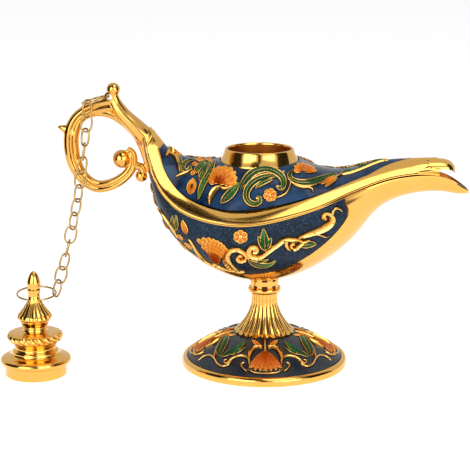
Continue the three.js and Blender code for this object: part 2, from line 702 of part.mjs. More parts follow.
// Ornament of the cover's near side, by station and side: fan flower, leaves, scrolls, vine, handle end
const COVER_RELIEF = [
  [[5.25, -0.61, 0.7], [5.36, -0.57, 2.6], [5.5, -0.52, 3.6], [5.62, -0.49, 2.8]],
  [[5.22, -0.63, 0.5], [5.1, -0.68, 0.9], [5.05, -0.73, 0.4]],
  [[4.64, -0.73, 0.4], [4.68, -0.62, 1.1], [4.82, -0.45, 0.9], [5.0, -0.27, 0.4]],
  [[5.42, -0.73, 0.4], [5.72, -0.69, 1.2], [5.97, -0.63, 0.5]],
  [[6, -0.67, 0.5], [6.4, -0.58, 1.3], [6.9, -0.53, 1.4], [7.4, -0.59, 1.3], [7.5, -0.66, 0.9], [7.3, -0.68, 0.5]],
  [[7.2, -0.6, 0.5], [6.71, -0.62, 1.1], [6.29, -0.67, 1.1], [6.33, -0.72, 0.8], [6.64, -0.73, 0.6]],
  [[6.88, -0.71, 1.3], [7.03, -0.71, 1.6], [7.18, -0.71, 1.3]],
  [[7.77, -0.57, 0.5], [7.93, -0.63, 1.1], [8.52, -0.63, 1.2], [9.1, -0.53, 0.9], [9.6, -0.42, 0.4]],
  [[7.93, -0.49, 1.2], [8.26, -0.43, 2.2], [8.72, -0.36, 1.4]],
  [[9.7, -0.52, 0.5], [10.62, -0.47, 0.9], [11.7, -0.4, 0.5]],
  [[2.15, -0.6, 0.6], [2.25, -0.45, 0.8], [3.01, -0.46, 0.7], [3.45, -0.59, 0.4]],
  [[4.0, -0.28, 0.5], [3.6, -0.44, 0.9], [3.83, -0.51, 0.8], [4.1, -0.46, 0.4]],
  [[4.3, -0.72, 0.5], [4.28, -0.65, 1.4], [4.25, -0.58, 0.5]],
];
const onCover = (station, side) => coverPoint(station, side, 0, 0);
const coverForms = [...COVER_RELIEF, ...mirrored(COVER_RELIEF)];
const coverPanel = solid(plate(coverEnamelSkin(0), coverEnamelSkin(ENAMEL_THICKNESS)));
const coverBed = solid(plate(coverEnamelSkin(ENAMEL_THICKNESS), coverEnamelSkin(2 * ENAMEL_THICKNESS)));
const coverEnamel = withRelief(coverPanel, coverBed, onCover, upward, coverForms)
  .subtract(atMouth(cylinder(COLLAR_BASE_RADIUS + FIT, collarSeat - CUT, collarSeat + CUT)));
add("cover_enamel", shape(coverEnamel), BLUE);

const collarBottom = collarSeat + FIT;
const collarProfile = [
  [MOUTH_RADIUS, collarBottom - COLLAR_SPIGOT],
  [spigotRadius, collarBottom - COLLAR_SPIGOT],
  [spigotRadius, collarBottom],
  [COLLAR_BASE_RADIUS, collarBottom],
  [COLLAR_TOP_RADIUS, collarBottom + COLLAR_HEIGHT - COLLAR_BEVEL],
  [COLLAR_TOP_RADIUS - COLLAR_BEVEL, collarBottom + COLLAR_HEIGHT],
  [MOUTH_RADIUS, collarBottom + COLLAR_HEIGHT],
];
add("mouth_collar", turned([...collarProfile, collarProfile[0]]).translate(MOUTH_CENTRE_X, 0, 0), GOLD);

// Handle: an arm up to the eyed knob, a loop that curls back to a ball, a thorn and a curl on the bowl

const root = section(0);
const rootUp = root.ridge.clone().sub(root.keel);
const rootHalf = rootUp.length() / 2;
const rootOut = vector(-rootUp.z, 0, rootUp.x).normalize();
const rootCentre = root.keel.clone().addScaledVector(rootUp, 0.5).addScaledVector(rootOut, FIT);
const limbStops = (stops) => stops.map(([x, z, thick, wide]) => [
  rootCentre.x + x * HANDLE_SCALE, rootCentre.z + z * HANDLE_SCALE, thick * HANDLE_SCALE, wide * HANDLE_SCALE,
]);

const ARM = [
  [-3.3, 3.6, 3.9, 3.8], [-5.9, 6.4, 3.5, 3.2], [-7.9, 9.6, 3.0, 2.4],
  [-9.1, 12.5, 2.6, 1.8], [-9.7, 15.0, 2.5, 1.8], [-9.3, 16.9, 2.1, 2.1], [-8.8, 18.1, 1.0, 1.0],
];
const LOOP = [
  [-8.2, 8.6, 2.3, 2.2], [-12.8, 9.5, 2.3, 2.4], [-16.1, 9.6, 2.3, 2.4], [-19.1, 8.5, 2.3, 2.4],
  [-21.5, 6.1, 2.4, 2.4], [-23.0, 3.0, 2.6, 2.4], [-23.6, -0.4, 2.6, 2.4], [-23.5, -4.1, 2.6, 2.4],
  [-22.8, -7.9, 2.5, 2.4], [-21.2, -11.6, 2.3, 2.3], [-18.6, -14.7, 2.2, 2.2], [-15.3, -16.4, 2.1, 2.1],
  [-12.0, -16.2, 2.0, 2.0], [-8.6, -14.7, 1.9, 1.9], [-5.9, -12.1, 1.7, 1.8], [-4.5, -9.6, 1.5, 1.7],
  [-4.9, -7.6, 1.4, 1.6],
];
const SCROLL_BALL = [-6.7, -7.4];
const THORN = [[-23.4, 2.0, 1.7, 1.5], [-25.6, 3.0, 1.1, 0.9], [-28.2, 3.7, 0.2, 0.2]];
const CURL_START = [-5.0, -10.4];
const CURL_MIDDLE = [-2.4, -9.4];
const EYE = [-10.6, 13.8];
const CURL_STATION = 1.5;

const eye = vector(rootCentre.x + EYE[0] * HANDLE_SCALE, 0, rootCentre.z + EYE[1] * HANDLE_SCALE);
const curlSeat = keelCurve.getPoint(CURL_STATION / LAST_BOWL);
const curlRun = keelCurve.getTangent(CURL_STATION / LAST_BOWL);
const curlBall = curlSeat.clone()
  .addScaledVector(vector(curlRun.z, 0, -curlRun.x).normalize(), CURL_BALL_RADIUS * HANDLE_SCALE + FIT);

const rootNext = rootCentre.clone().addScaledVector(rootOut, ROOT_RUN);
const armStart = [
  [rootCentre.x, rootCentre.z, rootHalf, root.half],
  [rootNext.x, rootNext.z, 0.98 * rootHalf, 0.97 * root.half],
];
const curlStops = [
  ...limbStops([[...CURL_START, 1.5, 1.5], [...CURL_MIDDLE, 1.4, 1.4]]),
  [curlBall.x, curlBall.z, 0.6 * CURL_BALL_RADIUS, 0.6 * CURL_BALL_RADIUS],
];
const scrollBall = limbStops([[...SCROLL_BALL, 1, 1]])[0];
const handleBody = solid(limb([...armStart, ...limbStops(ARM)], 15))
  .add(solid(limb(limbStops(LOOP), 32)))
  .add(solid(ball(SCROLL_BALL_RADIUS * HANDLE_SCALE, scrollBall[0], scrollBall[1])))
  .add(solid(limb(limbStops(THORN), 4)))
  .add(solid(limb(curlStops, 5)))
  .add(solid(ball(CURL_BALL_RADIUS * HANDLE_SCALE, curlBall.x, curlBall.z)))
  .subtract(solid(crossBar(EYE_RADIUS, CUT, eye.x, 0, eye.z)));
add("handle", shape(handleBody), GOLD);

// Rings and chain. Each moving piece keeps its pivot and hinge axis with it.

function ringPoints(centre, first, second, radius) {
  return fractions(RING_STEPS).slice(0, RING_STEPS).map((f) => centre.clone()
    .addScaledVector(first, radius * Math.cos(2 * Math.PI * f))
    .addScaledVector(second, radius * Math.sin(2 * Math.PI * f)));
}

function hinge(mesh, pivot, axis) {
  mesh.userData.pivot = pivot.toArray();
  mesh.userData.axis = axis.clone().normalize().toArray();
}

const towardViewer = vector(0, -1, 0);
const tilt = radians(HANDLE_RING_TILT);
const ringRun = vector(-Math.cos(tilt), 0, -Math.sin(tilt));
const ringCentre = eye.clone().addScaledVector(ringRun, HANDLE_RING_RADIUS);
const ringNormal = ringRun.clone().cross(towardViewer).normalize();
const handleRingPoints = ringPoints(ringCentre, ringRun, towardViewer, HANDLE_RING_RADIUS);
hinge(add("handle_ring", wireLoop(handleRingPoints, ringNormal), PALE_GOLD), eye, vector(0, 1, 0));

const hang = radians(HANDLE_RING_HANG);
const chainStart = ringCentre.clone()
  .addScaledVector(ringRun, HANDLE_RING_RADIUS * Math.cos(hang))
  .addScaledVector(towardViewer, HANDLE_RING_RADIUS * Math.sin(hang));
const ringTangent = ringRun.clone().multiplyScalar(Math.sin(hang))
  .addScaledVector(towardViewer, -Math.cos(hang));

const linkSpan = LINK_LENGTH - WIRE;
const nest = WIRE + LINK_GAP;
const lean = radians(CHAIN_LEAN_DEGREES);

function chainDirections(swing) {
  return Array.from({ length: LINK_COUNT }, (_, i) => {
    const angle = swing + radians(CHAIN_BOW_DEGREES) * (i - (LINK_COUNT - 1) / 2);
    return vector(-Math.sin(angle), -Math.sin(lean) * Math.cos(angle), -Math.cos(lean) * Math.cos(angle));
  });
}

// Upper wire centre of every link, and at the end the point where the stopper's ring hangs.
function chainKnots(directions) {
  const knots = [chainStart.clone().addScaledVector(directions[0], -nest)];
  directions.forEach((direction, i) => {
    const next = directions[i + 1] ?? direction;
    const back = direction.clone().add(next).normalize();
    knots.push(knots[i].clone().addScaledVector(direction, linkSpan).addScaledVector(back, -nest));
  });
  return knots;
}

// The stopper stands on the ground if the chain reaches it, and hangs free if it doesn't.
const stopperTilt = radians(STOPPER_RING_TILT);
const stopperEyeHeight = mix(PLUG_HEIGHT, STOPPER_HEIGHT, STOPPER_EYE_AT);
const straightEnd = chainKnots(chainDirections(0))[LINK_COUNT].sub(chainStart);
const reach = Math.hypot(straightEnd.x, straightEnd.z / Math.cos(lean));
const skew = Math.atan2(-straightEnd.x, -straightEnd.z / Math.cos(lean));
const ringLift = STOPPER_RING_RADIUS * Math.sin(stopperTilt);
const wantedDrop = (chainStart.z - stopperEyeHeight - ringLift) / Math.cos(lean);
const swing = Math.acos(Math.min(wantedDrop / reach, 0.995)) - skew;
const directions = chainDirections(swing);
const knots = chainKnots(directions);

function linkPoints(top, direction, sideways) {
  const bend = (LINK_WIDTH - WIRE) / 2;
  const straight = linkSpan - 2 * bend;
  const points = [];
  for (const [turn, offset] of [[0, bend + straight], [Math.PI, bend]]) {
    for (const f of fractions(LINK_ARC_STEPS)) {
      const angle = turn + Math.PI * f;
      points.push(top.clone()
        .addScaledVector(direction, offset + bend * Math.sin(angle))
        .addScaledVector(sideways, bend * Math.cos(angle)));
    }
  }
  return points;
}

let carrierAxis = ringTangent;
let carrierPivot = chainStart;
for (let i = 0; i < LINK_COUNT; i += 1) {
  const direction = directions[i];
  const right = vector(1, 0, 0).addScaledVector(direction, -direction.x).normalize();
  const near = direction.clone().cross(right);
  const twist = radians(LINK_TWISTS[i % LINK_TWISTS.length]);
  const sideways = right.multiplyScalar(Math.cos(twist)).addScaledVector(near, Math.sin(twist));
  const normal = direction.clone().cross(sideways);
  const name = `chain_link_${String(i + 1).padStart(2, "0")}`;
  const link = add(name, wireLoop(linkPoints(knots[i], direction, sideways), normal), PALE_GOLD);
  hinge(link, carrierPivot, carrierAxis);
  carrierPivot = knots[i].clone().addScaledVector(direction, linkSpan);
  carrierAxis = sideways;
}

// The stopper's ring runs through an eye across the stopper's neck and leans back behind it.
const stopperBack = vector(0, Math.cos(stopperTilt), Math.sin(stopperTilt));
const stopperRingCentre = knots[LINK_COUNT].clone().add(vector(-STOPPER_RING_RADIUS, 0, 0));
const stopperRingNormal = vector(1, 0, 0).cross(stopperBack);
const stopperRingPoints = ringPoints(stopperRingCentre, vector(1, 0, 0), stopperBack, STOPPER_RING_RADIUS);
const stopperRing = add("stopper_ring", wireLoop(stopperRingPoints, stopperRingNormal), PALE_GOLD);
hinge(stopperRing, carrierPivot, carrierAxis);

const stopperEye = stopperRingCentre.clone().addScaledVector(stopperBack, -STOPPER_RING_RADIUS);

// Stopper: plug, flange, disc, cup, bell, eyed neck and bud, hollow from below

const plugRadius = MOUTH_RADIUS - PLUG_CLEARANCE;
const atHeight = (f) => mix(PLUG_HEIGHT, STOPPER_HEIGHT, f);
const stopperProfile = [
  [0, atHeight(0.08)],
  [0.6 * (plugRadius - STOPPER_WALL), atHeight(0.06)],
  [plugRadius - STOPPER_WALL, 0.8 * PLUG_HEIGHT],
  [plugRadius - STOPPER_WALL, 0],
  [plugRadius, 0],
  [plugRadius, PLUG_HEIGHT],
  [STOPPER_FLANGE_RADIUS - FLANGE_BEVEL, PLUG_HEIGHT],
  [STOPPER_FLANGE_RADIUS, atHeight(0.035)],
  [STOPPER_FLANGE_RADIUS - FLANGE_BEVEL, atHeight(0.07)],
  [0.8 * STOPPER_DISC_RADIUS, atHeight(0.14)],
  [0.78 * STOPPER_DISC_RADIUS, atHeight(0.17)],
  [0.95 * STOPPER_DISC_RADIUS, atHeight(0.23)],
  [STOPPER_DISC_RADIUS, atHeight(0.285)],
  [0.94 * STOPPER_DISC_RADIUS, atHeight(0.325)],
  [0.66 * STOPPER_BELL_RADIUS, atHeight(0.355)],
  [0.68 * STOPPER_BELL_RADIUS, atHeight(0.39)],
  [0.9 * STOPPER_BELL_RADIUS, atHeight(0.475)],
  [STOPPER_BELL_RADIUS, atHeight(0.515)],
  [0.9 * STOPPER_BELL_RADIUS, atHeight(0.545)],
  [0.6 * STOPPER_BELL_RADIUS, atHeight(0.605)],
  [STOPPER_NECK_RADIUS, atHeight(0.645)],
  [STOPPER_NECK_RADIUS, atHeight(0.715)],
  [1.18 * STOPPER_NECK_RADIUS, atHeight(0.75)],
  [0.8 * STOPPER_NECK_RADIUS, atHeight(0.785)],
  [1.12 * STOPPER_NECK_RADIUS, atHeight(0.85)],
  [0.9 * STOPPER_NECK_RADIUS, atHeight(0.92)],
  [0.4 * STOPPER_NECK_RADIUS, atHeight(0.98)],
  [0, atHeight(1)],
];
const stopperBody = solid(turned(stopperProfile).translate(
  stopperEye.x,
  stopperEye.y,
  stopperEye.z - stopperEyeHeight,
)).subtract(solid(crossBar(STOPPER_EYE_RADIUS, CUT, 0, 0, 0)
  .rotateZ(Math.PI / 2)
  .translate(stopperEye.x, stopperEye.y, stopperEye.z)));
hinge(add("stopper", shape(stopperBody), GOLD), stopperEye, vector(1, 0, 0));

export default part;
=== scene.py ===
# %% [markdown]
# # An enamelled genie lamp, piece by piece
# The lamp is a gilt casting on a round foot: a boat-shaped bowl under a cover with a long spout, a scroll handle, and a
# stopper on a chain. Coloured enamel fills the panels, and gilt scrolls, leaves and flowers stand on it in low relief.
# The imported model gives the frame: every piece below is built in its place and rides on one of its bodies.

# %% Load the frame
import json
import math

import bmesh
import bpy
import numpy as np
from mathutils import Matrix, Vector
from mathutils.bvhtree import BVHTree


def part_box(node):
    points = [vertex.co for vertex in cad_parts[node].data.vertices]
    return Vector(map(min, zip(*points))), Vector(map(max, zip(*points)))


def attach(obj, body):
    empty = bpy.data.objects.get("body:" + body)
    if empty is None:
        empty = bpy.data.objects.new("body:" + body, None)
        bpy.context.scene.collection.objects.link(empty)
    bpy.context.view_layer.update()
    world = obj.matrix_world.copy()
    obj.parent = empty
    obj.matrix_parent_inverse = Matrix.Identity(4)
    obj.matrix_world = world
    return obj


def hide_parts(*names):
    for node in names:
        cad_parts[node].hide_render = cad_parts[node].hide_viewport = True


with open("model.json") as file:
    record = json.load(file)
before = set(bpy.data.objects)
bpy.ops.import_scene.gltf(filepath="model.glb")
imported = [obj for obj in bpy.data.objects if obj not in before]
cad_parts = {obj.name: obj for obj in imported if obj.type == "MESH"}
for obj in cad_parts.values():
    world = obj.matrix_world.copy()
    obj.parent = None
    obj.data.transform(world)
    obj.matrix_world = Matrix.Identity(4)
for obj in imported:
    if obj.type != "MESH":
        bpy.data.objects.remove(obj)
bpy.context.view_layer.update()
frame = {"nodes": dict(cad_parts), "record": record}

MM = 0.001

# %% [markdown]
# ## Camera
# The round foot and mouth show as ellipses, so the picture was taken from the side and about 13 degrees above the
# level. A long lens from half a metre away keeps both ellipses nearly alike. The same numbers turn a place in the
# picture into a line of sight, which later lays the ornament on the body where the eye sees it.

# %% Camera
FRAME_PIXELS = 470
FOCAL_PIXELS = 1512
SENSOR_WIDTH = 36
EYE_POINT = np.array([-10.06, -499.0, 159.6])
PITCH = math.radians(12.96)
LOOK = np.array([0.0, math.cos(PITCH), -math.sin(PITCH)])
RIGHT = np.array([1.0, 0.0, 0.0])
ABOVE = np.array([0.0, math.sin(PITCH), math.cos(PITCH)])

camera_data = bpy.data.cameras.new("camera")
camera_data.sensor_width = SENSOR_WIDTH
camera_data.lens = SENSOR_WIDTH * FOCAL_PIXELS / FRAME_PIXELS
camera_data.clip_start = 0.01
camera = bpy.data.objects.new("camera", camera_data)
camera.location = Vector(EYE_POINT * MM)
camera.rotation_euler = (math.pi / 2 - PITCH, 0, 0)
bpy.context.collection.objects.link(camera)
bpy.context.scene.camera = camera


def sight(u, v):
    """Direction from the eye through a place in the picture."""
    line = LOOK + RIGHT * (u - FRAME_PIXELS / 2) / FOCAL_PIXELS - ABOVE * (v - FRAME_PIXELS / 2) / FOCAL_PIXELS
    return line / np.linalg.norm(line)


def in_plane(u, v, y=0.0):
    """Where a line of sight meets the upright plane at y, as (x, z) in millimetres."""
    line = sight(u, v)
    point = EYE_POINT + line * (y - EYE_POINT[1]) / line[1]
    return point[0], point[2]


print("camera:", round(camera_data.lens, 1), "mm lens")

# %% [markdown]
# ## Shader maths
# A finish is easier to read as sums and products than as a list of wired nodes. One small class wraps a socket and
# adds a Math node for every operator; another holds a material and makes any other node.

# %% Shader maths
class Value:
    """A number that varies over a surface: the output socket of a node."""

    def __init__(self, finish, socket):
        self.finish = finish
        self.socket = socket

    def maths(self, operation, first, second):
        return self.finish.node("ShaderNodeMath", {"operation": operation}, {0: first, 1: second})

    def __add__(self, other):
        return self.maths("ADD", self, other)

    def __radd__(self, other):
        return self.maths("ADD", other, self)

    def __sub__(self, other):
        return self.maths("SUBTRACT", self, other)

    def __rsub__(self, other):
        return self.maths("SUBTRACT", other, self)

    def __mul__(self, other):
        return self.maths("MULTIPLY", self, other)

    def __rmul__(self, other):
        return self.maths("MULTIPLY", other, self)


class Finish:
    """A material: its node tree, its main shader and the node method."""

    def __init__(self, name, **constants):
        self.material = bpy.data.materials.new(name)
        self.material.use_nodes = True
        self.tree = self.material.node_tree
        self.shader = self.tree.nodes["Principled BSDF"]
        for socket, value in constants.items():
            self.shader.inputs[socket.replace("_", " ")].default_value = value

    def put(self, socket, value):
        if isinstance(value, Value):
            self.tree.links.new(value.socket, socket)
        else:
            socket.default_value = value

    def node(self, kind, settings=None, sockets=None, output=0):
        made = self.tree.nodes.new(kind)
        for name, value in (settings or {}).items():
            if name == "stops":
                ramp = made.color_ramp.elements
                while len(ramp) < len(value):
                    ramp.new(0.5)
                for element, (place, colour) in zip(ramp, value):
                    element.position = place
                    element.color = colour
            else:
                setattr(made, name, value)
        for key, value in (sockets or {}).items():
            self.put(made.inputs[key], value)
        return Value(self, made.outputs[output])

    def feed(self, **sockets):
        for name, value in sockets.items():
            self.put(self.shader.inputs[name.replace("_", " ")], value)

    def place(self):
        return self.node("ShaderNodeTexCoord", output=3)

    def noise(self, scale, detail=2.0, roughness=0.5, stretch=None):
        where = self.place()
        if stretch:
            where = self.node("ShaderNodeVectorMath", {"operation": "MULTIPLY"}, {0: where, 1: stretch})
        return self.node("ShaderNodeTexNoise", None,
                         {"Vector": where, "Scale": scale, "Detail": detail, "Roughness": roughness})

    def ramp(self, value, stops):
        return self.node("ShaderNodeValToRGB", {"stops": stops}, {"Fac": value})

    def spread(self, value, low, high):
        return self.node("ShaderNodeMapRange", None,
                         {"Value": value, "From Min": low, "From Max": high, "To Min": 0.0, "To Max": 1.0})

    def blend(self, share, first, second):
        return self.node("ShaderNodeMix", {"data_type": "RGBA"}, {0: share, 6: first, 7: second}, 2)

    def attribute(self, name):
        return self.node("ShaderNodeAttribute", {"attribute_name": name}, output=2)

    def bump(self, height, strength, distance):
        return self.node("ShaderNodeBump", None, {"Height": height, "Strength": strength, "Distance": distance})


def colour(red, green, blue):
    return (red, green, blue, 1.0)


print("shader maths ready")

# %% [markdown]
# ## Gilding
# The lamp is cast, polished and gilt. Gold tints what it mirrors, so the finish is a metal with a warm orange-yellow
# base. Hand polishing leaves slow waves and small changes of gloss, which noise gives at their real scale. The relief
# is less polished than the plain surfaces, so it gets a rougher version of the same gold. The insides of the mouth and
# the trough are rougher too, and their gold is painted much darker and redder as painted shade. The handle's gold is a
# darker copy, also painted shade, and the wire of the chain is paler and duller.

# %% Gilding
GOLD_LIGHT = colour(0.90, 0.54, 0.145)
GOLD_WARM = colour(0.86, 0.44, 0.080)


def gilding(name, gloss, waves, light=GOLD_LIGHT, warm=GOLD_WARM):
    finish = Finish(name, Metallic=1.0)
    clouds = finish.noise(60.0, 2.0)
    grain = finish.noise(2600.0, 3.0, 0.6)
    finish.feed(Base_Color=finish.blend(clouds, light, warm),
                Roughness=gloss + 0.10 * grain * clouds,
                Normal=finish.bump(finish.noise(150.0, 1.0) + 0.05 * grain, waves, 0.00012))
    return finish.material


polished_gold = gilding("polished_gold", 0.09, 0.10)
# A darker copy of the polished gold for the handle, as painted shade.
handle_shaded_gold = gilding("handle_shaded_gold", 0.09, 0.10, colour(0.80, 0.46, 0.125), colour(0.74, 0.37, 0.070))
cast_gold = gilding("cast_gold", 0.16, 0.25, colour(0.90, 0.57, 0.175), colour(0.84, 0.45, 0.095))
# The insides get a darker, redder gold: painted shade for the light lost inside the mouth and the trough.
inner_shaded_gold = gilding("inner_shaded_gold", 0.42, 0.35, colour(0.58, 0.20, 0.03), colour(0.40, 0.10, 0.012))
wire_gold = gilding("wire_gold", 0.20, 0.15, colour(0.60, 0.41, 0.15), colour(0.46, 0.29, 0.09))
print("gilding:", polished_gold.name, cast_gold.name, inner_shaded_gold.name, wire_gold.name)

# %% [markdown]
# ## Enamel
# The bowl carries dark navy enamel with a fine sparkle of ground glass, the cover a glossier blue with deep pools, the
# foot a slate blue. Leaves and petals are coloured enamel too. All have a hard clear gloss, so they share one recipe:
# a ground colour, a second colour in clouds, a speckle, and a clear shine.

# %% Enamel
def enamel(name, ground, clouds, speck, speckle, cloud_scale, roughness, shine):
    finish = Finish(name, Specular_IOR_Level=shine)
    drift = finish.spread(finish.noise(cloud_scale, 3.0), 0.38, 0.68)
    sparkle = finish.spread(finish.noise(3000.0, 2.0, 0.7), 0.5, 0.78) * speckle
    body = finish.blend(drift, ground, clouds)
    finish.feed(Base_Color=finish.blend(sparkle, body, speck),
                Roughness=roughness + 0.12 * sparkle,
                Normal=finish.bump(finish.noise(420.0, 2.0) + 0.3 * sparkle, 0.16, 0.00012))
    return finish.material


navy_enamel = enamel("navy_enamel", colour(0.003, 0.009, 0.020), colour(0.007, 0.022, 0.055),
                     colour(0.14, 0.22, 0.32), 0.75, 140.0, 0.30, 0.14)
blue_enamel = enamel("blue_enamel", colour(0.018, 0.058, 0.140), colour(0.002, 0.007, 0.024),
                     colour(0.12, 0.18, 0.30), 0.15, 130.0, 0.12, 0.22)
slate_enamel = enamel("slate_enamel", colour(0.012, 0.018, 0.030), colour(0.030, 0.036, 0.044),
                      colour(0.14, 0.17, 0.20), 0.30, 160.0, 0.16, 0.25)


def glaze(name, deep, bright, pale):
    """Leaf and petal enamel: deep where it lies thick, paler towards the tip."""
    finish = Finish(name, Specular_IOR_Level=0.22)
    drift = finish.noise(900.0, 3.0, 0.6)
    tone = finish.attribute("tone") + 0.5 * drift - 0.25
    finish.feed(Base_Color=finish.ramp(tone, [(0.0, deep), (0.55, bright), (1.0, pale)]),
                Roughness=0.18 + 0.16 * drift,
                Normal=finish.bump(drift, 0.25, 0.00010))
    return finish.material


leaf_green = glaze("leaf_green", colour(0.001, 0.012, 0.003), colour(0.006, 0.080, 0.014), colour(0.045, 0.280, 0.055))
petal_orange = glaze("petal_orange", colour(0.400, 0.045, 0.001), colour(0.850, 0.230, 0.006),
                     colour(0.960, 0.470, 0.045))
bell_red = glaze("bell_red", colour(0.260, 0.024, 0.001), colour(0.520, 0.080, 0.002), colour(0.720, 0.200, 0.010))
# Near-black painted shade for the line along the foot of the relief.
deep_pool = glaze("deep_pool", colour(0.001, 0.002, 0.005), colour(0.002, 0.004, 0.010), colour(0.003, 0.007, 0.016))
# Dark brown painted shade for the dimples, the rib valleys, the groove under the band and the strokes at the spout.
painted_shade_brown = glaze("painted_shade_brown", colour(0.030, 0.008, 0.001), colour(0.070, 0.022, 0.003), colour(0.120, 0.045, 0.008))
print("enamel:", navy_enamel.name, blue_enamel.name, slate_enamel.name, leaf_green.name, petal_orange.name)

# %% [markdown]
# ## Meshes
# Nearly everything on the lamp is a grid of points bent into shape: a turned profile, a tube along a path or a shell.
# These helpers make such grids and close them, so that every piece is a solid with smooth shading and crisp edges.

# %% Meshes
CRISP = 38.0
MERGE = 1e-6


class Grids:
    """Collects closed grids of points that end up in one mesh."""

    def __init__(self):
        self.points = []
        self.faces = []
        self.tones = []
        self.count = 0

    def grid(self, rows, round_rows=False, round_columns=False, caps=False, tone=0.5):
        rows = np.asarray(rows, float)
        height, width = rows.shape[:2]
        index = self.count + np.arange(height * width).reshape(height, width)
        self.points.append(rows.reshape(-1, 3))
        self.tones.append(np.broadcast_to(tone, (height, width)).reshape(-1))
        self.count += height * width
        for i in range(height if round_rows else height - 1):
            for j in range(width if round_columns else width - 1):
                k, m = (i + 1) % height, (j + 1) % width
                self.faces.append((index[i, j], index[i, m], index[k, m], index[k, j]))
        if caps:
            self.faces.append(tuple(index[0][::-1]))
            self.faces.append(tuple(index[-1]))

    def closed(self, rows, tone=0.5):
        """A tube with both ends closed."""
        self.grid(rows, round_columns=True, caps=True, tone=tone)

    def mesh(self, name):
        mesh = bpy.data.meshes.new(name)
        points = np.concatenate(self.points) * MM
        mesh.from_pydata(points.tolist(), [], [tuple(int(i) for i in face) for face in self.faces])
        tone = mesh.attributes.new("tone", "FLOAT", "POINT")
        tone.data.foreach_set("value", np.concatenate(self.tones).astype(np.float32))
        work = bmesh.new()
        work.from_mesh(mesh)
        bmesh.ops.remove_doubles(work, verts=work.verts, dist=MERGE)
        bmesh.ops.dissolve_degenerate(work, edges=work.edges, dist=0.1 * MERGE)
        bmesh.ops.recalc_face_normals(work, faces=work.faces)
        work.to_mesh(mesh)
        work.free()
        return mesh

    def piece(self, name, material, body, slot, nodes=(), crisp=CRISP):
        return dress(bpy.data.objects.new(name, self.mesh(name)), material, body, nodes, crisp)


def dress(piece, material, body, nodes=(), crisp=CRISP):
    """Gives a new piece its finish and the body that it rides on, and hides the frame's parts that it stands in for."""
    mesh = piece.data
    mesh.polygons.foreach_set("use_smooth", np.ones(len(mesh.polygons), bool))
    mesh.set_sharp_from_angle(angle=math.radians(crisp))
    mesh.materials.clear()
    mesh.materials.append(material)
    if piece.name not in bpy.context.collection.objects:
        bpy.context.collection.objects.link(piece)
    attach(piece, body)
    if nodes:
        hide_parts(*nodes)
    return piece


def bake_modifiers(piece):
    """Keeps what the modifiers make of a piece, and drops the modifiers."""
    bpy.context.view_layer.update()
    mesh = bpy.data.meshes.new_from_object(piece.evaluated_get(bpy.context.evaluated_depsgraph_get()))
    piece.modifiers.clear()
    piece.data = mesh
    return piece


def smooth_path(points, steps=8):
    """A Catmull-Rom curve through points of any dimension; a doubled point makes a corner."""
    points = np.asarray(points, float)
    padded = np.vstack([2 * points[0] - points[1], points, 2 * points[-1] - points[-2]])
    share = np.linspace(0, 1, steps, endpoint=False)[:, None]
    made = []
    for a, b, c, d in zip(padded[:-3], padded[1:-2], padded[2:-1], padded[3:]):
        if np.allclose(b, c):
            continue
        a = b if np.allclose(a, b) else a
        d = c if np.allclose(c, d) else d
        made.append(0.5 * (2 * b + (c - a) * share + (2 * a - 5 * b + 4 * c - d) * share ** 2
                           + (3 * b - a - 3 * c + d) * share ** 3))
    made.append(points[-1:])
    return np.vstack(made)


def even_path(points, spacing):
    """The same curve with points at even distances."""
    points = np.asarray(points, float)
    length = np.concatenate([[0.0], np.cumsum(np.linalg.norm(np.diff(points, axis=0), axis=1))])
    count = max(int(math.ceil(length[-1] / spacing)), 3)
    where = np.linspace(0, length[-1], count + 1)
    return np.stack([np.interp(where, length, column) for column in points.T], axis=1)


def profile(*runs, steps=6):
    """A turned piece's outline: smooth runs of (radius, height) that meet in corners."""
    return np.vstack([smooth_path(run, steps) if len(run) > 2 else np.asarray(run, float) for run in runs])


def lathe(outline, segments, centre=(0.0, 0.0, 0.0), carve=None):
    """Rows of points round an upright axis. The carving moves points outward and up: it gets angle, radius, height."""
    angle = np.linspace(0, 2 * math.pi, segments, endpoint=False)[None, :]
    radius = np.repeat(outline[:, :1], segments, axis=1)
    height = np.repeat(outline[:, 1:], segments, axis=1)
    if carve:
        outward, upward = carve(angle, radius, height)
        radius = np.maximum(radius + outward, 0.0)
        height = height + upward
    return np.stack([radius * np.sin(angle), -radius * np.cos(angle), height], axis=2) + np.asarray(centre)


def turned(name, outline, segments, material, nodes=(), body="lamp", slot="gold", crisp=CRISP, **how):
    """A piece made on the lathe."""
    made = Grids()
    made.grid(lathe(outline, segments, **how), round_columns=True)
    return made.piece(name, material, body, slot, nodes, crisp)


def tube(path, normals, halves, heights, section):
    """Loops along a path: the section is a list of (across, up) shares of the half width and the height."""
    path = np.asarray(path, float)
    along = np.gradient(path, axis=0)
    along /= np.linalg.norm(along, axis=1)[:, None] + 1e-12
    across = np.cross(along, normals)
    across /= np.linalg.norm(across, axis=1)[:, None] + 1e-12
    section = np.asarray(section)
    return (path[:, None, :] + across[:, None, :] * (halves[:, None] * section[None, :, 0])[:, :, None]
            + normals[:, None, :] * (heights[:, None] * section[None, :, 1])[:, :, None])


def ring_section(sides):
    angle = np.linspace(0, 2 * math.pi, sides, endpoint=False)
    return np.stack([np.cos(angle), np.sin(angle)], axis=1)


def window(value, low, high, soft):
    """1 between low and high, and 0 outside, with soft ends."""
    rise = np.clip((value - low) / soft + 0.5, 0, 1)
    fall = np.clip((high - value) / soft + 0.5, 0, 1)
    rise, fall = rise * rise * (3 - 2 * rise), fall * fall * (3 - 2 * fall)
    return rise * fall


def ribs(angle, count):
    """0 on top of each rounded rib, and -1 in the sharp valley between two."""
    phase = np.mod(angle * count / (2 * math.pi) + 0.5, 1.0) * 2 - 1
    return np.sqrt(np.clip(1 - phase * phase, 0, 1)) - 1


print("mesh helpers ready")

# %% [markdown]
# ## Lines of the body
# A boat is drawn by its keel, its rim and its ridge. Each table gives where the cross-sections meet that line, in
# millimetres: for the rim also the half width. A curve through the points, softened a little, keeps the polished
# shells free of dents.

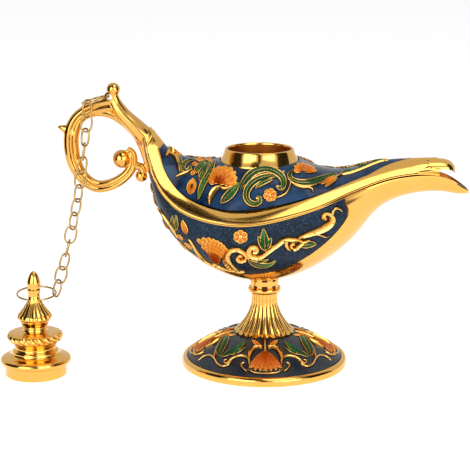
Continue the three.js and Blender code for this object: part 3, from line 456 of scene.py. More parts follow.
# %% Lines of the body
KEEL_BASE = 29.4
FIT = 0.3
KEEL_POINTS = [(-41.4, 46.4), (-39.4, 40.1), (-37.9, 33.1), (-36, 25.2), (-31.5, 16.2), (-22.5, 7.4), (-10, 1.0),
               (2, 0), (13, 3.0), (23.5, 9.2), (31.5, 16.6), (37.4, 24.8), (45.2, 28.9), (53, 30.5), (60, 30.6),
               (64.8, 29.6), (68.5, 29.9)]
RIM_POINTS = [(-40.6, 4.4, 49.3), (-40, 7, 45.4), (-38.3, 10.2, 40.2), (-35.3, 14.2, 33.4), (-28.9, 18.6, 27.8),
              (-19.7, 22.4, 24.8), (-8.6, 24, 23.6), (1.2, 23.6, 24.8), (11, 21.9, 27.1), (19, 19, 29.3),
              (26.5, 14.6, 31.6), (34.4, 10.6, 34.0), (42, 8.2, 36), (51, 6.6, 37), (58, 5.6, 36.6), (63.4, 5.7, 34.6),
              (68.0, 2.2, 31.5)]
RIDGE_POINTS = [(-38.2, 52.5), (-35.2, 48.9), (-32.2, 45.2), (-28.6, 43), (-24, 41.9), (-16.5, 41.4), (-8, 42.2),
                (0.5, 42.6), (10, 42.2), (18, 39), (26, 37.9), (34, 40), (42, 41.6), (51, 41.9), (57.6, 42.1)]
STATION_STEPS = 40
SOFTEN_STEPS = 14


def body_line(points):
    """The line as a function of the station number."""
    dense = smooth_path(points, STATION_STEPS)
    reach = np.arange(-3 * SOFTEN_STEPS, 3 * SOFTEN_STEPS + 1)
    weight = np.exp(-0.5 * (reach / SOFTEN_STEPS) ** 2)
    weight /= weight.sum()
    ends = len(reach) // 2
    padded = np.vstack([2 * dense[0] - dense[ends:0:-1], dense, 2 * dense[-1] - dense[-2:-ends - 2:-1]])
    soft = np.stack([np.convolve(column, weight, "valid") for column in padded.T], axis=1)
    stations = np.linspace(0, len(points) - 1, len(soft))
    return lambda station: [np.interp(station, stations, column) for column in soft.T]


keel_line = body_line(KEEL_POINTS)
rim_line = body_line(RIM_POINTS)
ridge_line = body_line(RIDGE_POINTS)
LAST_BOWL = len(KEEL_POINTS) - 1
LAST_COVER = len(RIDGE_POINTS) - 1


def bowl_point(station, side, inset):
    """Outside of the bowl: side runs from -1 on one rim over the keel at 0 to +1 on the other rim."""
    keel_x, keel_z = keel_line(station)
    rim_x, half, rim_z = rim_line(station)
    depth = np.hypot(rim_x - keel_x, rim_z - keel_z)
    bottom = np.minimum(inset, 0.5 * depth)
    wide = np.maximum(half - inset, 0.3 * half)
    lift = (bottom + (depth - bottom) * (1 - np.cos(math.pi / 2 * side))) / depth
    return np.stack([keel_x + (rim_x - keel_x) * lift, wide * np.sin(math.pi / 2 * side),
                     KEEL_BASE + keel_z + (rim_z - keel_z) * lift], axis=-1)


print("body lines:", LAST_BOWL + 1, "bowl stations,", LAST_COVER + 1, "cover stations")

# %% [markdown]
# ## Bowl
# The bowl is one gilt casting with the trough of the spout. Its enamel lies in a shallow recess whose far end sweeps
# from the rim back along the keel, so the underside and the spout stay gold. Both are shells from the same formula;
# the enamel's face lies a hair below the gold, as it does after the last polish.

# %% Bowl
PANEL_START = 1.9
PANEL_END_KEEL = 4.0
PANEL_END_RIM = 9.9
PANEL_SIDE = 0.990
KEEL_SIDE = 0.30
FULL_SIDE = 0.82
RECESS = 0.8
ENAMEL_BELOW = 0.10
ENAMEL_THICKNESS = 0.5
BOWL_WALL = 2.2


def panel_end(side):
    bare = np.clip((FULL_SIDE - np.abs(side)) / (FULL_SIDE - KEEL_SIDE), 0, 1)
    return PANEL_END_KEEL + (PANEL_END_RIM - PANEL_END_KEEL) * (1 - bare * bare)


def bowl_wall(station):
    """The wall thins out along the spout."""
    return BOWL_WALL * (1 - 0.6 * np.clip((station - PANEL_END_RIM) / 3.0, 0, 1))


def plate(skin, inner):
    """Closes an outer and an inner skin into one solid: each row runs round its section, and both ends get faces."""
    made = Grids()
    made.grid(np.concatenate([skin, inner[:, ::-1]], axis=1), round_columns=True)
    height, width = skin.shape[:2]
    for row in (0, height - 1):
        first, last = 2 * width * row, 2 * width * (row + 1) - 1
        for j in range(width - 1):
            made.faces.append((first + j, first + j + 1, last - 1 - j, last - j))
    return made


LIP_SIDES = np.array([PANEL_SIDE + 0.002, 0.996, 1.0])
side_edges = np.concatenate([-LIP_SIDES[::-1], np.linspace(-PANEL_SIDE, PANEL_SIDE, 81), LIP_SIDES])
panel_shares = np.linspace(0, 1, 111)


def bowl_rows():
    """Pairs of a station for every side and whether that row lies in the recess."""
    side = side_edges
    rows = [(np.full_like(side, s), False) for s in np.linspace(0, PANEL_START - 0.02, 14)]
    rows += [(PANEL_START + (panel_end(side) - PANEL_START) * f, True) for f in panel_shares]
    rows += [(panel_end(side) + 0.02 + (LAST_BOWL - panel_end(side) - 0.02) * f, False)
             for f in np.linspace(0, 1, 90) ** 1.15]
    return rows


in_panel = np.abs(side_edges) <= PANEL_SIDE
bowl_skin = np.stack([bowl_point(s, side_edges, np.where(in_panel & sunk, RECESS, 0.0)) for s, sunk in bowl_rows()])
bowl_inside = np.stack([bowl_point(s, side_edges, bowl_wall(s)) for s, sunk in bowl_rows()])
bowl = plate(bowl_skin, bowl_inside).piece("bowl_casting", polished_gold, "lamp", "gold", ["bowl"])

enamel_sides = np.linspace(-PANEL_SIDE + 0.002, PANEL_SIDE - 0.002, 81)
enamel_shares = np.linspace(0.006, 0.996, 111)


def bowl_panel(inset):
    return np.stack([bowl_point(PANEL_START + (panel_end(enamel_sides) - PANEL_START) * f, enamel_sides, inset)
                     for f in enamel_shares])


bowl_ground = bowl_panel(ENAMEL_BELOW)
plate(bowl_ground, bowl_panel(ENAMEL_BELOW + ENAMEL_THICKNESS)).piece(
    "bowl_enamel_panel", navy_enamel, "lamp", "bowl_enamel", ["bowl_enamel"])
print("bowl:", len(bowl.data.polygons), "faces")

# %% [markdown]
# ## Cover
# The cover's edge is a moulding: a round bead that closes on the bowl's lip, a deep fine groove, and a broad band that
# leans inward. The section is drawn once in millimetres; the bead thins out towards the spout, where a seam opens
# under it instead. The mouth is cut out afterwards.

# %% Cover
SEAM = 0.04
SPOUT_SEAM = 0.42
BEAD = 0.56
SPOUT_BEAD = 0.15
BAND_INSET = 3.2
BAND_RISE = 3.5
HANDLE_RISE = 5.0
COVER_WALL = 2.0
COVER_CROWN = 3.4
COVER_PANEL_START = 1.5
COVER_PANEL_END = 12.75
TAPER_START = 11.0
WEDGE_STEPS = 6
MOUTH_CENTRE = -1.9
SHOULDER_REACH = 16.0


def cover_measures(station, inset, crown):
    rim_x, half, rim_z = rim_line(station)
    ridge_x, ridge_z = ridge_line(station)
    height = np.hypot(ridge_x - rim_x, ridge_z - rim_z)
    up = np.stack([(ridge_x - rim_x) / height, np.zeros_like(height), (ridge_z - rim_z) / height], axis=-1)
    start = np.stack([rim_x, np.zeros_like(height), KEEL_BASE + rim_z], axis=-1)
    wide = np.maximum(half - inset, 0.3 * half)
    top = np.maximum(height - crown, 0.4 * height)
    fullness = 2 + 2.5 * np.exp(-((rim_x - MOUTH_CENTRE) / SHOULDER_REACH) ** 2)
    return start, up, wide, top, fullness


def seam(station):
    return SEAM + SPOUT_SEAM * window(station, 9.4, 13.4, 1.6)


def bead_radius(station):
    return np.interp(station, [0.0, 3.0, 5.6, 8.6], [0.7 * BEAD, BEAD, 0.9 * BEAD, SPOUT_BEAD])


def band_reach(station, wide, top):
    """How far the moulding reaches inward and up: it is broader at the handle end."""
    rise = np.interp(station, [0.0, 3.4, 5.6], [HANDLE_RISE, HANDLE_RISE, BAND_RISE])
    return np.minimum(BAND_INSET, 0.45 * wide), np.minimum(rise, 0.75 * top)


def band_section(station, wide, top):
    """Half section of the moulding from the seam to the panel, as rows of (inward, rise)."""
    gap, bead = seam(station), bead_radius(station)
    inset, rise = band_reach(station, wide, top)
    size = np.minimum(rise / BAND_RISE, 1.0)
    points = [(0.45 * size, gap + 0 * size)]
    for angle in np.radians(np.linspace(-85, 75, 13)):
        points.append((0.30 * size - bead * math.cos(angle), gap + bead * (1 + math.sin(angle))))
    points.append((0.66 * size, gap + 2.05 * bead))
    points.append((0.64 * size, gap + 2.05 * bead + 0.10 * size))
    low = (0.30 * size, gap + 2.05 * bead + 0.24 * size)
    for f in np.concatenate([[0.0, 0.015], np.linspace(0.04, 0.96, 12), [0.985, 1.0]]):
        swell = 0.15 * size * math.sin(math.pi * f) ** 0.6
        points.append((low[0] + (inset - low[0]) * f - 0.7 * swell, low[1] + (rise - low[1]) * f + 0.7 * swell))
    return np.stack([np.stack(point, axis=-1) for point in points], axis=-2)


def cover_dome(station, reach, inset, crown):
    """Points of the dome: reach runs from 1 at the band over 0 on the ridge to -1."""
    start, up, wide, top, fullness = cover_measures(station, inset, crown)
    inward, band_top = band_reach(station, wide, top)
    band_wide = wide - inward
    rise = band_top + (top - band_top) * (1 - np.abs(reach) ** fullness)
    point = start + up * rise[..., None]
    point[..., 1] = band_wide * reach
    return point


def panel_reach(station):
    """How far the panel reaches from the ridge to the band: it tapers to a point on the spout."""
    return np.sqrt(np.clip((COVER_PANEL_END - station) / (COVER_PANEL_END - TAPER_START), 0.0004, 1))


dome_share = np.linspace(-1, 1, 73)
cover_stations = np.concatenate([np.linspace(0, COVER_PANEL_START - 0.012, 26),
                                 np.linspace(COVER_PANEL_START, COVER_PANEL_END, 150),
                                 np.linspace(COVER_PANEL_END + 0.012, LAST_COVER, 24)])
cover_sunk = (cover_stations >= COVER_PANEL_START) & (cover_stations <= COVER_PANEL_END)


def cover_outer():
    rows = []
    for station, sunk in zip(cover_stations, cover_sunk):
        start, up, wide, top, _ = cover_measures(np.array(station), 0.0, 0.0)
        edge = band_section(station, wide, top)
        left = start + up * edge[:, 1:] + np.array([0, -1, 0]) * (wide - edge[:, :1])
        below = RECESS if sunk else 0.0
        reach = float(panel_reach(station)) if station > TAPER_START else 1.0
        wedge_reach = -np.linspace(1, reach, WEDGE_STEPS)
        wedge = cover_dome(np.full_like(wedge_reach, station), wedge_reach, 0.0, 0.0)
        dome_reach = dome_share * max(reach - 0.012, 0.004)
        dome = cover_dome(np.full_like(dome_reach, station), dome_reach, below, below)
        half = np.vstack([left, wedge])
        rows.append(np.vstack([half, dome, (half * [1, -1, 1])[::-1]]))
    return np.stack(rows)


cover_skin = cover_outer()
columns = cover_skin.shape[1]
inner_reach = np.linspace(-1, 1, columns - 6)


def cover_inner():
    rows = []
    for station in cover_stations:
        start, up, wide, top, _ = cover_measures(np.array(station), COVER_WALL, COVER_CROWN)
        levels = np.array([[seam(station)], [0.5 * seam(station) + 0.5], [1.0]])
        side = start + up * np.minimum(levels, 0.3 * top) + np.array([0, -1, 0]) * wide
        dome = cover_dome(np.full_like(inner_reach, station), inner_reach, COVER_WALL, COVER_CROWN)
        rows.append(np.vstack([side, dome, (side * [1, -1, 1])[::-1]]))
    return np.stack(rows)


cover = plate(cover_skin, cover_inner()).piece("cover_casting", polished_gold, "lamp", "gold", ["cover"])

cover_enamel_stations = np.linspace(COVER_PANEL_START + 0.03, COVER_PANEL_END - 0.05, 150)
cover_enamel_reach = np.linspace(-0.985, 0.985, 73)


def cover_panel(inset):
    return np.stack([cover_dome(np.full_like(cover_enamel_reach, s), cover_enamel_reach * panel_reach(s), inset, inset)
                     for s in cover_enamel_stations])


cover_ground = cover_panel(ENAMEL_BELOW)
cover_enamel = plate(cover_ground, cover_panel(ENAMEL_BELOW + ENAMEL_THICKNESS)).piece(
    "cover_enamel_panel", blue_enamel, "lamp", "cover_enamel", ["cover_enamel"])

# %% [markdown]
# ## Mouth
# The mouth is a plain polished collar that stands in a round opening. Cutting the opening after the shells are made
# keeps their grids simple: a boolean takes one cylinder out of the cover and a wider one out of the enamel.

# %% Mouth
COLLAR_SEAT = KEEL_BASE + 42.6 - 2.2
COLLAR_BASE_RADIUS = 13.3
MOUTH_RADIUS = 10.6
MOUTH_CUT = 12.3
CUT_LOW, CUT_HIGH = KEEL_BASE + 26, KEEL_BASE + 60


def drill(piece, radius, low, high, centre=(0.0, 0.0), axis="Z", sides=96):
    """Cuts a cylinder out of a piece; low and high are its ends along the axis."""
    turn = {"Z": lambda a, b, c: (a, b, c), "X": lambda a, b, c: (c, a, b), "Y": lambda a, b, c: (a, c, b)}[axis]
    angle = np.linspace(0, 2 * math.pi, sides, endpoint=False)
    rows = [[turn(centre[0] + radius * math.cos(t), centre[1] + radius * math.sin(t), level) for t in angle]
            for level in (low, high)]
    cutter = Grids()
    cutter.closed(rows)
    tool = bpy.data.objects.new("cutter", cutter.mesh("cutter"))
    bpy.context.collection.objects.link(tool)
    cut = piece.modifiers.new("opening", "BOOLEAN")
    cut.operation = "DIFFERENCE"
    cut.solver = "EXACT"
    cut.object = tool
    bake_modifiers(piece)
    bpy.data.objects.remove(tool)
    piece.data.set_sharp_from_angle(angle=math.radians(CRISP))


for opened, radius in ((cover, MOUTH_CUT), (cover_enamel, COLLAR_BASE_RADIUS + 0.05)):
    drill(opened, radius, CUT_LOW, CUT_HIGH, (MOUTH_CENTRE, 0.0))

collar_outline = profile(
    [(MOUTH_RADIUS + 0.15, -1.9), (MOUTH_RADIUS + 0.05, 0.0), (MOUTH_RADIUS, 3.6)],
    [(MOUTH_RADIUS, 3.6), (MOUTH_RADIUS + 0.10, 4.3), (MOUTH_RADIUS + 0.45, 4.58), (MOUTH_RADIUS + 0.85, 4.42),
     (11.7, 3.9)],
    [(11.7, 3.9), (12.15, 2.6), (12.7, 1.3), (COLLAR_BASE_RADIUS, 0.1)],
    [(COLLAR_BASE_RADIUS, 0.1), (COLLAR_BASE_RADIUS, -0.3)],
    [(COLLAR_BASE_RADIUS, -0.3), (12.0, -0.3)],
    [(12.0, -0.3), (12.0, -1.9)],
    [(12.0, -1.9), (MOUTH_RADIUS + 0.15, -1.9)], steps=10)
COLLAR_CENTRE = (MOUTH_CENTRE, 0.0, COLLAR_SEAT + FIT)
turned("mouth_ring", collar_outline, 160, polished_gold, ["mouth_collar"], centre=COLLAR_CENTRE)
# The lining wears the darker inner gold, which is painted shade.
lining_outline = profile([(MOUTH_RADIUS + 0.05, -1.8), (MOUTH_RADIUS - 0.02, 0.0), (MOUTH_RADIUS - 0.04, 3.9)],
                         [(MOUTH_RADIUS - 0.04, 3.9), (MOUTH_RADIUS + 0.1, 3.9)],
                         [(MOUTH_RADIUS + 0.1, 3.9), (MOUTH_RADIUS + 0.12, 0.0), (MOUTH_RADIUS + 0.14, -1.8)],
                         [(MOUTH_RADIUS + 0.14, -1.8), (MOUTH_RADIUS + 0.05, -1.8)])
turned("mouth_lining", lining_outline, 128, inner_shaded_gold, centre=COLLAR_CENTRE)
print("cover:", len(cover.data.polygons), "faces with the mouth cut out")

# %% [markdown]
# ## Spout tongue
# A short rounded tongue runs out of the cover over the trough, so the spout ends like a beak.

# %% Spout tongue
TONGUE_LENGTH = 6.2
TONGUE_ROOT = 3.0
TONGUE_WIDE = 4.4
TONGUE_DEEP = 3.1
tongue_x, tongue_z = ridge_line(float(LAST_COVER))


def tongue_skin(thickness):
    rows = []
    for f in np.sin(np.linspace(0, 0.495, 34) * math.pi):
        reach = f * (TONGUE_ROOT + TONGUE_LENGTH) - TONGUE_ROOT
        nose = max(reach, 0.0) / TONGUE_LENGTH
        wide = (TONGUE_WIDE - thickness) * math.sqrt(1 - nose ** 3.2)
        deep = (TONGUE_DEEP - thickness) * (1 - 0.5 * nose ** 3)
        top = KEEL_BASE + tongue_z - 0.35 - thickness - 1.2 * nose ** 2 - 2.0 * nose ** 6
        rows.append([(tongue_x + reach, wide * math.sin(a), top - deep * (1 - math.cos(a)))
                     for a in np.linspace(-0.5, 0.5, 37) * math.pi])
    return np.array(rows)


plate(tongue_skin(0.0), tongue_skin(1.1)).piece("spout_tongue", polished_gold, "lamp", "gold")
# The trough's lining wears the same darker inner gold, painted shade.
trough_stations = np.linspace(9.0, LAST_BOWL - 0.12, 80)
trough_sides = np.linspace(-0.97, 0.97, 61)


def trough_skin(inset):
    return np.stack([bowl_point(np.full_like(trough_sides, s), trough_sides, bowl_wall(s) + inset)
                     for s in trough_stations])


plate(trough_skin(-0.05), trough_skin(0.04)).piece("trough_lining", inner_shaded_gold, "lamp", "gold")
print("tongue:", TONGUE_LENGTH, "mm beyond the cover, and a lining in the trough")

# %% [markdown]
# ## Foot, stem and knop
# The foot is turned work: a saucer with a rolled rim, and a trumpet stem whose ribs end in a scalloped hem over the
# enamel. Above it sits the knop, a ringed collar with two rows of small dimples. A carving function pushes the points
# of the turned grid in and out, which gives the ribs, the hem and the dimples as real relief. Dark brown painted shade
# lies in the dimples and as a thread in the valleys between the ribs.

# %% Foot, stem and knop
FOOT_RADIUS = 28.2
DISC_EDGE = 26.9
FOOT_RIM_HEIGHT = 2.6
HEM_RADIUS = 10.2
HEM_HEIGHT = 11.6
FOOT_HEIGHT = 22.8
STEM_RADIUS = 4.4
STEM_RIBS = 20
SHALLOW_RIB = 0.6
FLAT_RADIUS = 27.0
SCREW_HOLE = 1.9


def foot_top(radius):
    f = (FLAT_RADIUS - radius) / (FLAT_RADIUS - HEM_RADIUS)
    return FOOT_RIM_HEIGHT + (HEM_HEIGHT - FOOT_RIM_HEIGHT - 0.8) * (
        0.35 * f + 0.65 * np.sin(math.pi / 2 * np.clip(f, 0, 1)))


def stem_curve(f):
    return STEM_RADIUS + (HEM_RADIUS - STEM_RADIUS) * (1 - f) ** 1.95, HEM_HEIGHT + (FOOT_HEIGHT - HEM_HEIGHT) * f


disc = np.linspace(DISC_EDGE - 0.5, HEM_RADIUS - 1.2, 12)
foot_outline = np.vstack([
    profile([(26.3, 0.35), (26.5, 0.08), (26.9, 0.0)],
            [(26.9, 0.0), (27.8, 0.0), (28.1, 0.12), (FOOT_RADIUS, 0.45), (FOOT_RADIUS, 1.5), (28.1, 2.1), (27.75, 2.6),
             (27.3, 2.86), (26.9, 2.92), (26.6, 2.82), (26.42, 2.6)]),
    [(26.4, foot_top(26.4) - RECESS)],
    [(r, foot_top(r) - RECESS) for r in disc],
    [(HEM_RADIUS - 1.2, foot_top(HEM_RADIUS) + 0.2), (HEM_RADIUS - 0.35, HEM_HEIGHT - 0.85)],
    [stem_curve(f) for f in np.linspace(-0.015, 1, 70)],
    [(SCREW_HOLE, FOOT_HEIGHT), (SCREW_HOLE, 16.3), (3.4, 16.3), (3.4, 7.6)],
    [(r - 1.8, max(foot_top(r) - RECESS - 1.8, 0.4)) for r in disc[::-1]],
    [(26.3, 0.35)]])


def rib_depth(radius, height):
    """The ribs grow deeper where the stem flares."""
    return (0.46 + 0.052 * radius) * (0.8 + 0.2 * np.clip((16.5 - height) / 5.0, 0, 1))


def stem_ribs(angle, radius, height):
    start = HEM_HEIGHT - 1.0
    deep = SHALLOW_RIB + (1 - SHALLOW_RIB) * window(height, start, 20.6, 0.9)
    rib = ribs(angle, STEM_RIBS) * deep * window(height, start, FOOT_HEIGHT + 1, 1.4) * (radius > STEM_RADIUS - 0.05)
    hem = window(height, HEM_HEIGHT - 1.2, HEM_HEIGHT + 0.4, 1.0) * (radius > HEM_RADIUS - 0.6) * (radius < 12)
    return rib * rib_depth(radius, height), -0.6 * ribs(angle, STEM_RIBS) * hem


turned("foot_casting", foot_outline, STEM_RIBS * 14, polished_gold, ["foot"], crisp=45.0, carve=stem_ribs)

foot_radii = np.linspace(DISC_EDGE - 0.55, HEM_RADIUS - 0.9, 40)
foot_enamel_outline = np.vstack([[(r, foot_top(r) - 0.05) for r in foot_radii],
                                 [(r, foot_top(r) - 0.6) for r in foot_radii[::-1]],
                                 [(foot_radii[0], foot_top(foot_radii[0]) - 0.05)]])
turned("foot_enamel_ring", foot_enamel_outline, 180, slate_enamel, ["foot_enamel"], slot="foot_enamel")

KNOP_BOTTOM = FOOT_HEIGHT + 0.05
KNOP_TOP = 28.6
DIMPLES = 8
LOW_DIMPLES = 27.1
HIGH_DIMPLES = 29.75
COLLAR_RING = 24.9
SPOT = [(-1, 0), (-0.8, 1), (0.8, 1), (1, 0), (0.8, -1), (-0.8, -1)]
NECK_RADIUS = 4.85
knop_outline = profile(
    [(SCREW_HOLE, KNOP_BOTTOM), (STEM_RADIUS, KNOP_BOTTOM)],
    [(STEM_RADIUS, KNOP_BOTTOM), (4.38, 24.0), (4.36, COLLAR_RING)],
    [(4.36, COLLAR_RING), (4.75, 24.95), (5.2, 25.15), (5.5, 25.6), (5.58, 26.15), (5.45, 26.6), (5.1, 26.95),
     (NECK_RADIUS, 27.2)],
    [(NECK_RADIUS, 27.2), (4.8, 27.9), (NECK_RADIUS, KNOP_TOP)],
    [(NECK_RADIUS, KNOP_TOP), (SCREW_HOLE, KNOP_TOP)],
    [(SCREW_HOLE, KNOP_TOP), (SCREW_HOLE, KNOP_BOTTOM)], steps=9)
boss_outline = profile([(SCREW_HOLE, KNOP_TOP), (NECK_RADIUS, KNOP_TOP)],
                       [(NECK_RADIUS, KNOP_TOP), (NECK_RADIUS, 29.6), (5.05, 30.2), (5.7, 30.8)],
                       [(5.7, 30.8), (5.2, 31.3), (SCREW_HOLE, 31.3)],
                       [(SCREW_HOLE, 31.3), (SCREW_HOLE, KNOP_TOP)], steps=14)


def dimples(level, half_wide, half_high, depth):
    """A row of dimples pressed into a turned neck, and the ends of the stem's ribs below the ring."""
    def carve(angle, radius, height):
        turn = (np.mod(angle * DIMPLES / (2 * math.pi) + 0.5, 1.0) - 0.5) * 2 * math.pi / DIMPLES * radius
        dots = np.exp(-((turn / half_wide) ** 8 + ((height - level) / half_high) ** 8))
        stem = ribs(angle, STEM_RIBS) * SHALLOW_RIB * 0.45 * (height < COLLAR_RING)
        return (stem - depth * dots) * (radius > 3.0), 0.0
    return carve


for name, outline, carve, nodes in (
        ("stem_collar", knop_outline, dimples(LOW_DIMPLES, 0.92, 0.62, 1.1), ["stem_knop"]),
        ("bowl_boss", boss_outline, dimples(HIGH_DIMPLES, 0.85, 0.32, 0.7), [])):
    turned(name, outline, 240, polished_gold, nodes, carve=carve)

# Dark brown painted shade: patches in the dimples and threads in the valleys between the ribs, where shade falls.
shade = Grids()
for level, half_wide, half_high in ((LOW_DIMPLES, 0.80, 0.50), (HIGH_DIMPLES, 0.75, 0.26)):
    for middle in np.arange(DIMPLES) * 2 * math.pi / DIMPLES:
        turn = middle + np.linspace(-1, 1, 9) * half_wide / NECK_RADIUS
        outward = np.stack([np.cos(turn), np.sin(turn), np.zeros(9)], axis=1)
        spot = outward * (NECK_RADIUS - 0.42) + [0, 0, level]
        shade.closed(tube(spot, outward, np.full(9, half_high), np.full(9, 0.12), SPOT))
for valley in (np.arange(STEM_RIBS) + 0.5) * 2 * math.pi / STEM_RIBS:
    radius, level = stem_curve(np.linspace(0.06, 0.80, 15))
    outward = np.array([math.cos(valley), math.sin(valley), 0.0])
    line = (radius - 0.60 * rib_depth(radius, level))[:, None] * outward + level[:, None] * np.array([0, 0, 1.0])
    thread = tube(line, np.tile(outward, (15, 1)), 0.022 * radius + 0.02, np.full(15, 0.10), SPOT)
    shade.closed(thread)
shade.piece("dimple_shade", painted_shade_brown, "lamp", "gold")
print("foot:", STEM_RIBS, "ribs,", 2 * DIMPLES, "dimples in the knop")

# %% [markdown]
# ## Handle
# The handle is one casting made of rods: a stout arm that rises from the body's end to an eyed knob, a double rod that
# loops back to a ball, a thorn on the loop and a small curl against the bowl. The rods are swept one by one, and a
# voxel remesh then melts them into a single skin, with the soft fillets that a casting has where rods meet.

# %% Handle
ORIGIN = (-41.1, 78.0)
ARM = [(151, 143, 2.6, 3.2), (146, 137.6, 3.1, 4.2), (141, 132.2, 3.1, 4.2), (132.6, 123.7, 2.7, 3.7),
       (125, 116.5, 2.5, 3.1), (119, 109, 2.3, 2.5), (115.2, 102.4, 2.0, 1.95), (113, 97.4, 1.95, 1.7),
       (112.8, 93.6, 1.9, 1.75), (113.2, 90.4, 1.2, 1.2)]
LOOP = [(-8.0, 11.6, 2.7, 1.5), (-11.4, 11.3, 2.7, 1.9), (-14.0, 10.7, 2.5, 2.2), (-16.6, 9.7, 2.4, 2.4),
        (-19.3, 8.2, 2.3, 2.4), (-21.5, 6.1, 2.4, 2.4), (-23.0, 3.0, 2.6, 2.4), (-23.6, -0.4, 2.6, 2.4),
        (-23.5, -4.1, 2.6, 2.4), (-22.8, -7.9, 2.5, 2.4), (-21.2, -11.6, 2.3, 2.3), (-18.6, -14.7, 2.2, 2.2),
        (-15.3, -16.4, 2.1, 2.1), (-12.0, -16.2, 2.0, 2.0), (-8.6, -14.9, 1.9, 1.9), (-5.7, -12.8, 1.8, 1.8),
        (-3.8, -10.4, 1.7, 1.7), (-3.1, -7.7, 1.6, 1.6), (-3.5, -5.2, 1.45, 1.5), (-5.0, -3.6, 1.0, 1.1)]
THORN = [(-22.4, 1.5, 2.6, 2.0), (-24.4, 2.5, 1.9, 1.6), (-26.0, 3.2, 1.3, 1.2), (-27.9, 3.8, 0.35, 0.35)]
INNER_ROD = [(88, 114.5, 1.2), (99, 112.8, 1.2), (110, 114.8, 1.15), (120.6, 121, 1.1), (129.6, 129.4, 1.0),
             (136.4, 138, 0.95), (141.6, 148, 0.95), (145.2, 158, 0.95), (148.4, 168, 0.9), (151.6, 175.6, 0.5)]
CURL = [(131.5, 168.4, 1.2), (137, 166, 1.25), (142, 167.4, 1.3), (144, 172.5, 1.4)]
SCROLL_BALL = ((121.8, 158.8), 3.1)
CURL_BALL = ((141.4, 176.0), 2.05)
KNOB = ((113.2, 89.4), 2.25)
EYE_PLACE = (-10.6, 13.8)
EYE_RADIUS = 1.85
EYE_BORE = 1.0
EYE_SIDES = 40
DRILL_REACH = 12.0
ROD_STEPS = 10
VOXEL = 0.17
SMOOTHING = 9


def plain_rod(angle):
    return np.cos(angle), np.sin(angle)


def double_rod(angle):
    """Two ribs side by side with a groove between them."""
    groove = np.exp(-(np.cos(angle) / 0.26) ** 2)
    return np.cos(angle), np.sin(angle) * (1 - 0.40 * groove)


def creased_rod(angle):
    """An arm with a flat strip on its back and a crease along each side."""
    crease = np.exp(-((np.cos(angle) - 0.15) / 0.16) ** 2)
    return np.cos(angle), np.sin(angle) * (1 - 0.06 * crease)


def rod(collector, stops, section, sides=48):
    """A rod in the plane of the handle: stops are (x, z, half thickness, half width)."""
    path = smooth_path(stops, ROD_STEPS)
    along = np.gradient(path[:, :2], axis=0)
    along /= np.linalg.norm(along, axis=1)[:, None]
    angle = np.linspace(0, 2 * math.pi, sides, endpoint=False)
    in_turn, out_turn = section(angle)
    rows = []
    for (x, z, thick, wide), (dx, dz) in zip(path, along):
        rows.append(np.stack([x - dz * thick * in_turn, wide * out_turn, z + dx * thick * in_turn], axis=1))
    collector.closed(rows)


def globe(collector, centre, radius, squeeze=1.0):
    angle = np.linspace(0, math.pi, 33)
    outline = np.stack([radius * np.sin(angle), -radius * np.cos(angle) * squeeze], axis=1)
    rows = lathe(outline, 64)[:, :, [0, 2, 1]] + np.array([centre[0], 0.0, centre[1]])
    collector.closed(rows)


def from_root(stops):
    return [(ORIGIN[0] + x, ORIGIN[1] + z, thick, wide) for x, z, thick, wide in stops]


def in_view(stops):
    """Stops given by their place in the picture instead of in millimetres."""
    return [(*in_plane(u, v), thick, wide) for u, v, thick, wide in stops]


handle = Grids()
rod(handle, in_view(ARM), creased_rod)
rod(handle, from_root(LOOP), double_rod)
rod(handle, from_root(THORN), plain_rod, sides=24)
rod(handle, in_view([(u, v, r, 1.15 * r) for u, v, r in INNER_ROD]), plain_rod)
rod(handle, in_view([(u, v, r, r) for u, v, r in CURL]), plain_rod)
for place, radius in (SCROLL_BALL, CURL_BALL, KNOB):
    globe(handle, in_plane(*place), radius)
eye_x, eye_z = ORIGIN[0] + EYE_PLACE[0], ORIGIN[1] + EYE_PLACE[1]
globe(handle, (eye_x, eye_z), EYE_RADIUS, 0.75)
handle_piece = handle.piece("handle_casting", handle_shaded_gold, "lamp", "gold", ["handle"])
melt = handle_piece.modifiers.new("melt", "REMESH")
melt.mode = "VOXEL"
melt.voxel_size = VOXEL * MM
soften = handle_piece.modifiers.new("soften", "SMOOTH")
soften.factor = 0.5
soften.iterations = SMOOTHING
bake_modifiers(handle_piece)
drill(handle_piece, EYE_BORE, -DRILL_REACH, DRILL_REACH, (eye_x, eye_z), "Y", EYE_SIDES)
dress(handle_piece, handle_shaded_gold, "lamp", ["handle"], 50.0)
print("handle:", len(handle_piece.data.polygons), "faces after the remesh")

# %% [markdown]
# ## Chain
# Every link is a closed loop of round wire that rides on its own body. The frame already holds each link in its place,
# so the smooth wire is laid along the middle of that solid: the centre and the long, wide and thin directions of its
# points say where.

# %% Chain
WIRE_RADIUS = 0.33
SOLID_WIRE = 0.375
LINK_HALF_LONG = 6.547 / 2 - SOLID_WIRE
LINK_HALF_WIDE = 4.4 / 2 - SOLID_WIRE
OVAL = 0.8
WIRE_SIDES = 14


def solid_axes(node):
    """Centre and main directions of a CAD node, longest first, in millimetres."""
    points = np.array([v.co for v in frame["nodes"][node].data.vertices]) / MM
    points = np.unique(np.round(points, 5), axis=0)
    centre = (points.max(0) + points.min(0)) / 2
    centre = points.mean(0) if node.startswith("chain") else centre
    _, _, axes = np.linalg.svd(points - points.mean(0), full_matrices=False)
    return centre, axes


def wire(path, normal):
    """A closed round wire along a flat closed path."""
    along = np.roll(path, -1, axis=0) - np.roll(path, 1, axis=0)
    along /= np.linalg.norm(along, axis=1)[:, None]
    across = np.cross(along, normal)
    section = ring_section(WIRE_SIDES) * WIRE_RADIUS
    made = Grids()
    made.grid(path[:, None, :] + across[:, None, :] * section[None, :, :1] + normal * section[None, :, 1:],
              round_rows=True, round_columns=True)
    return made


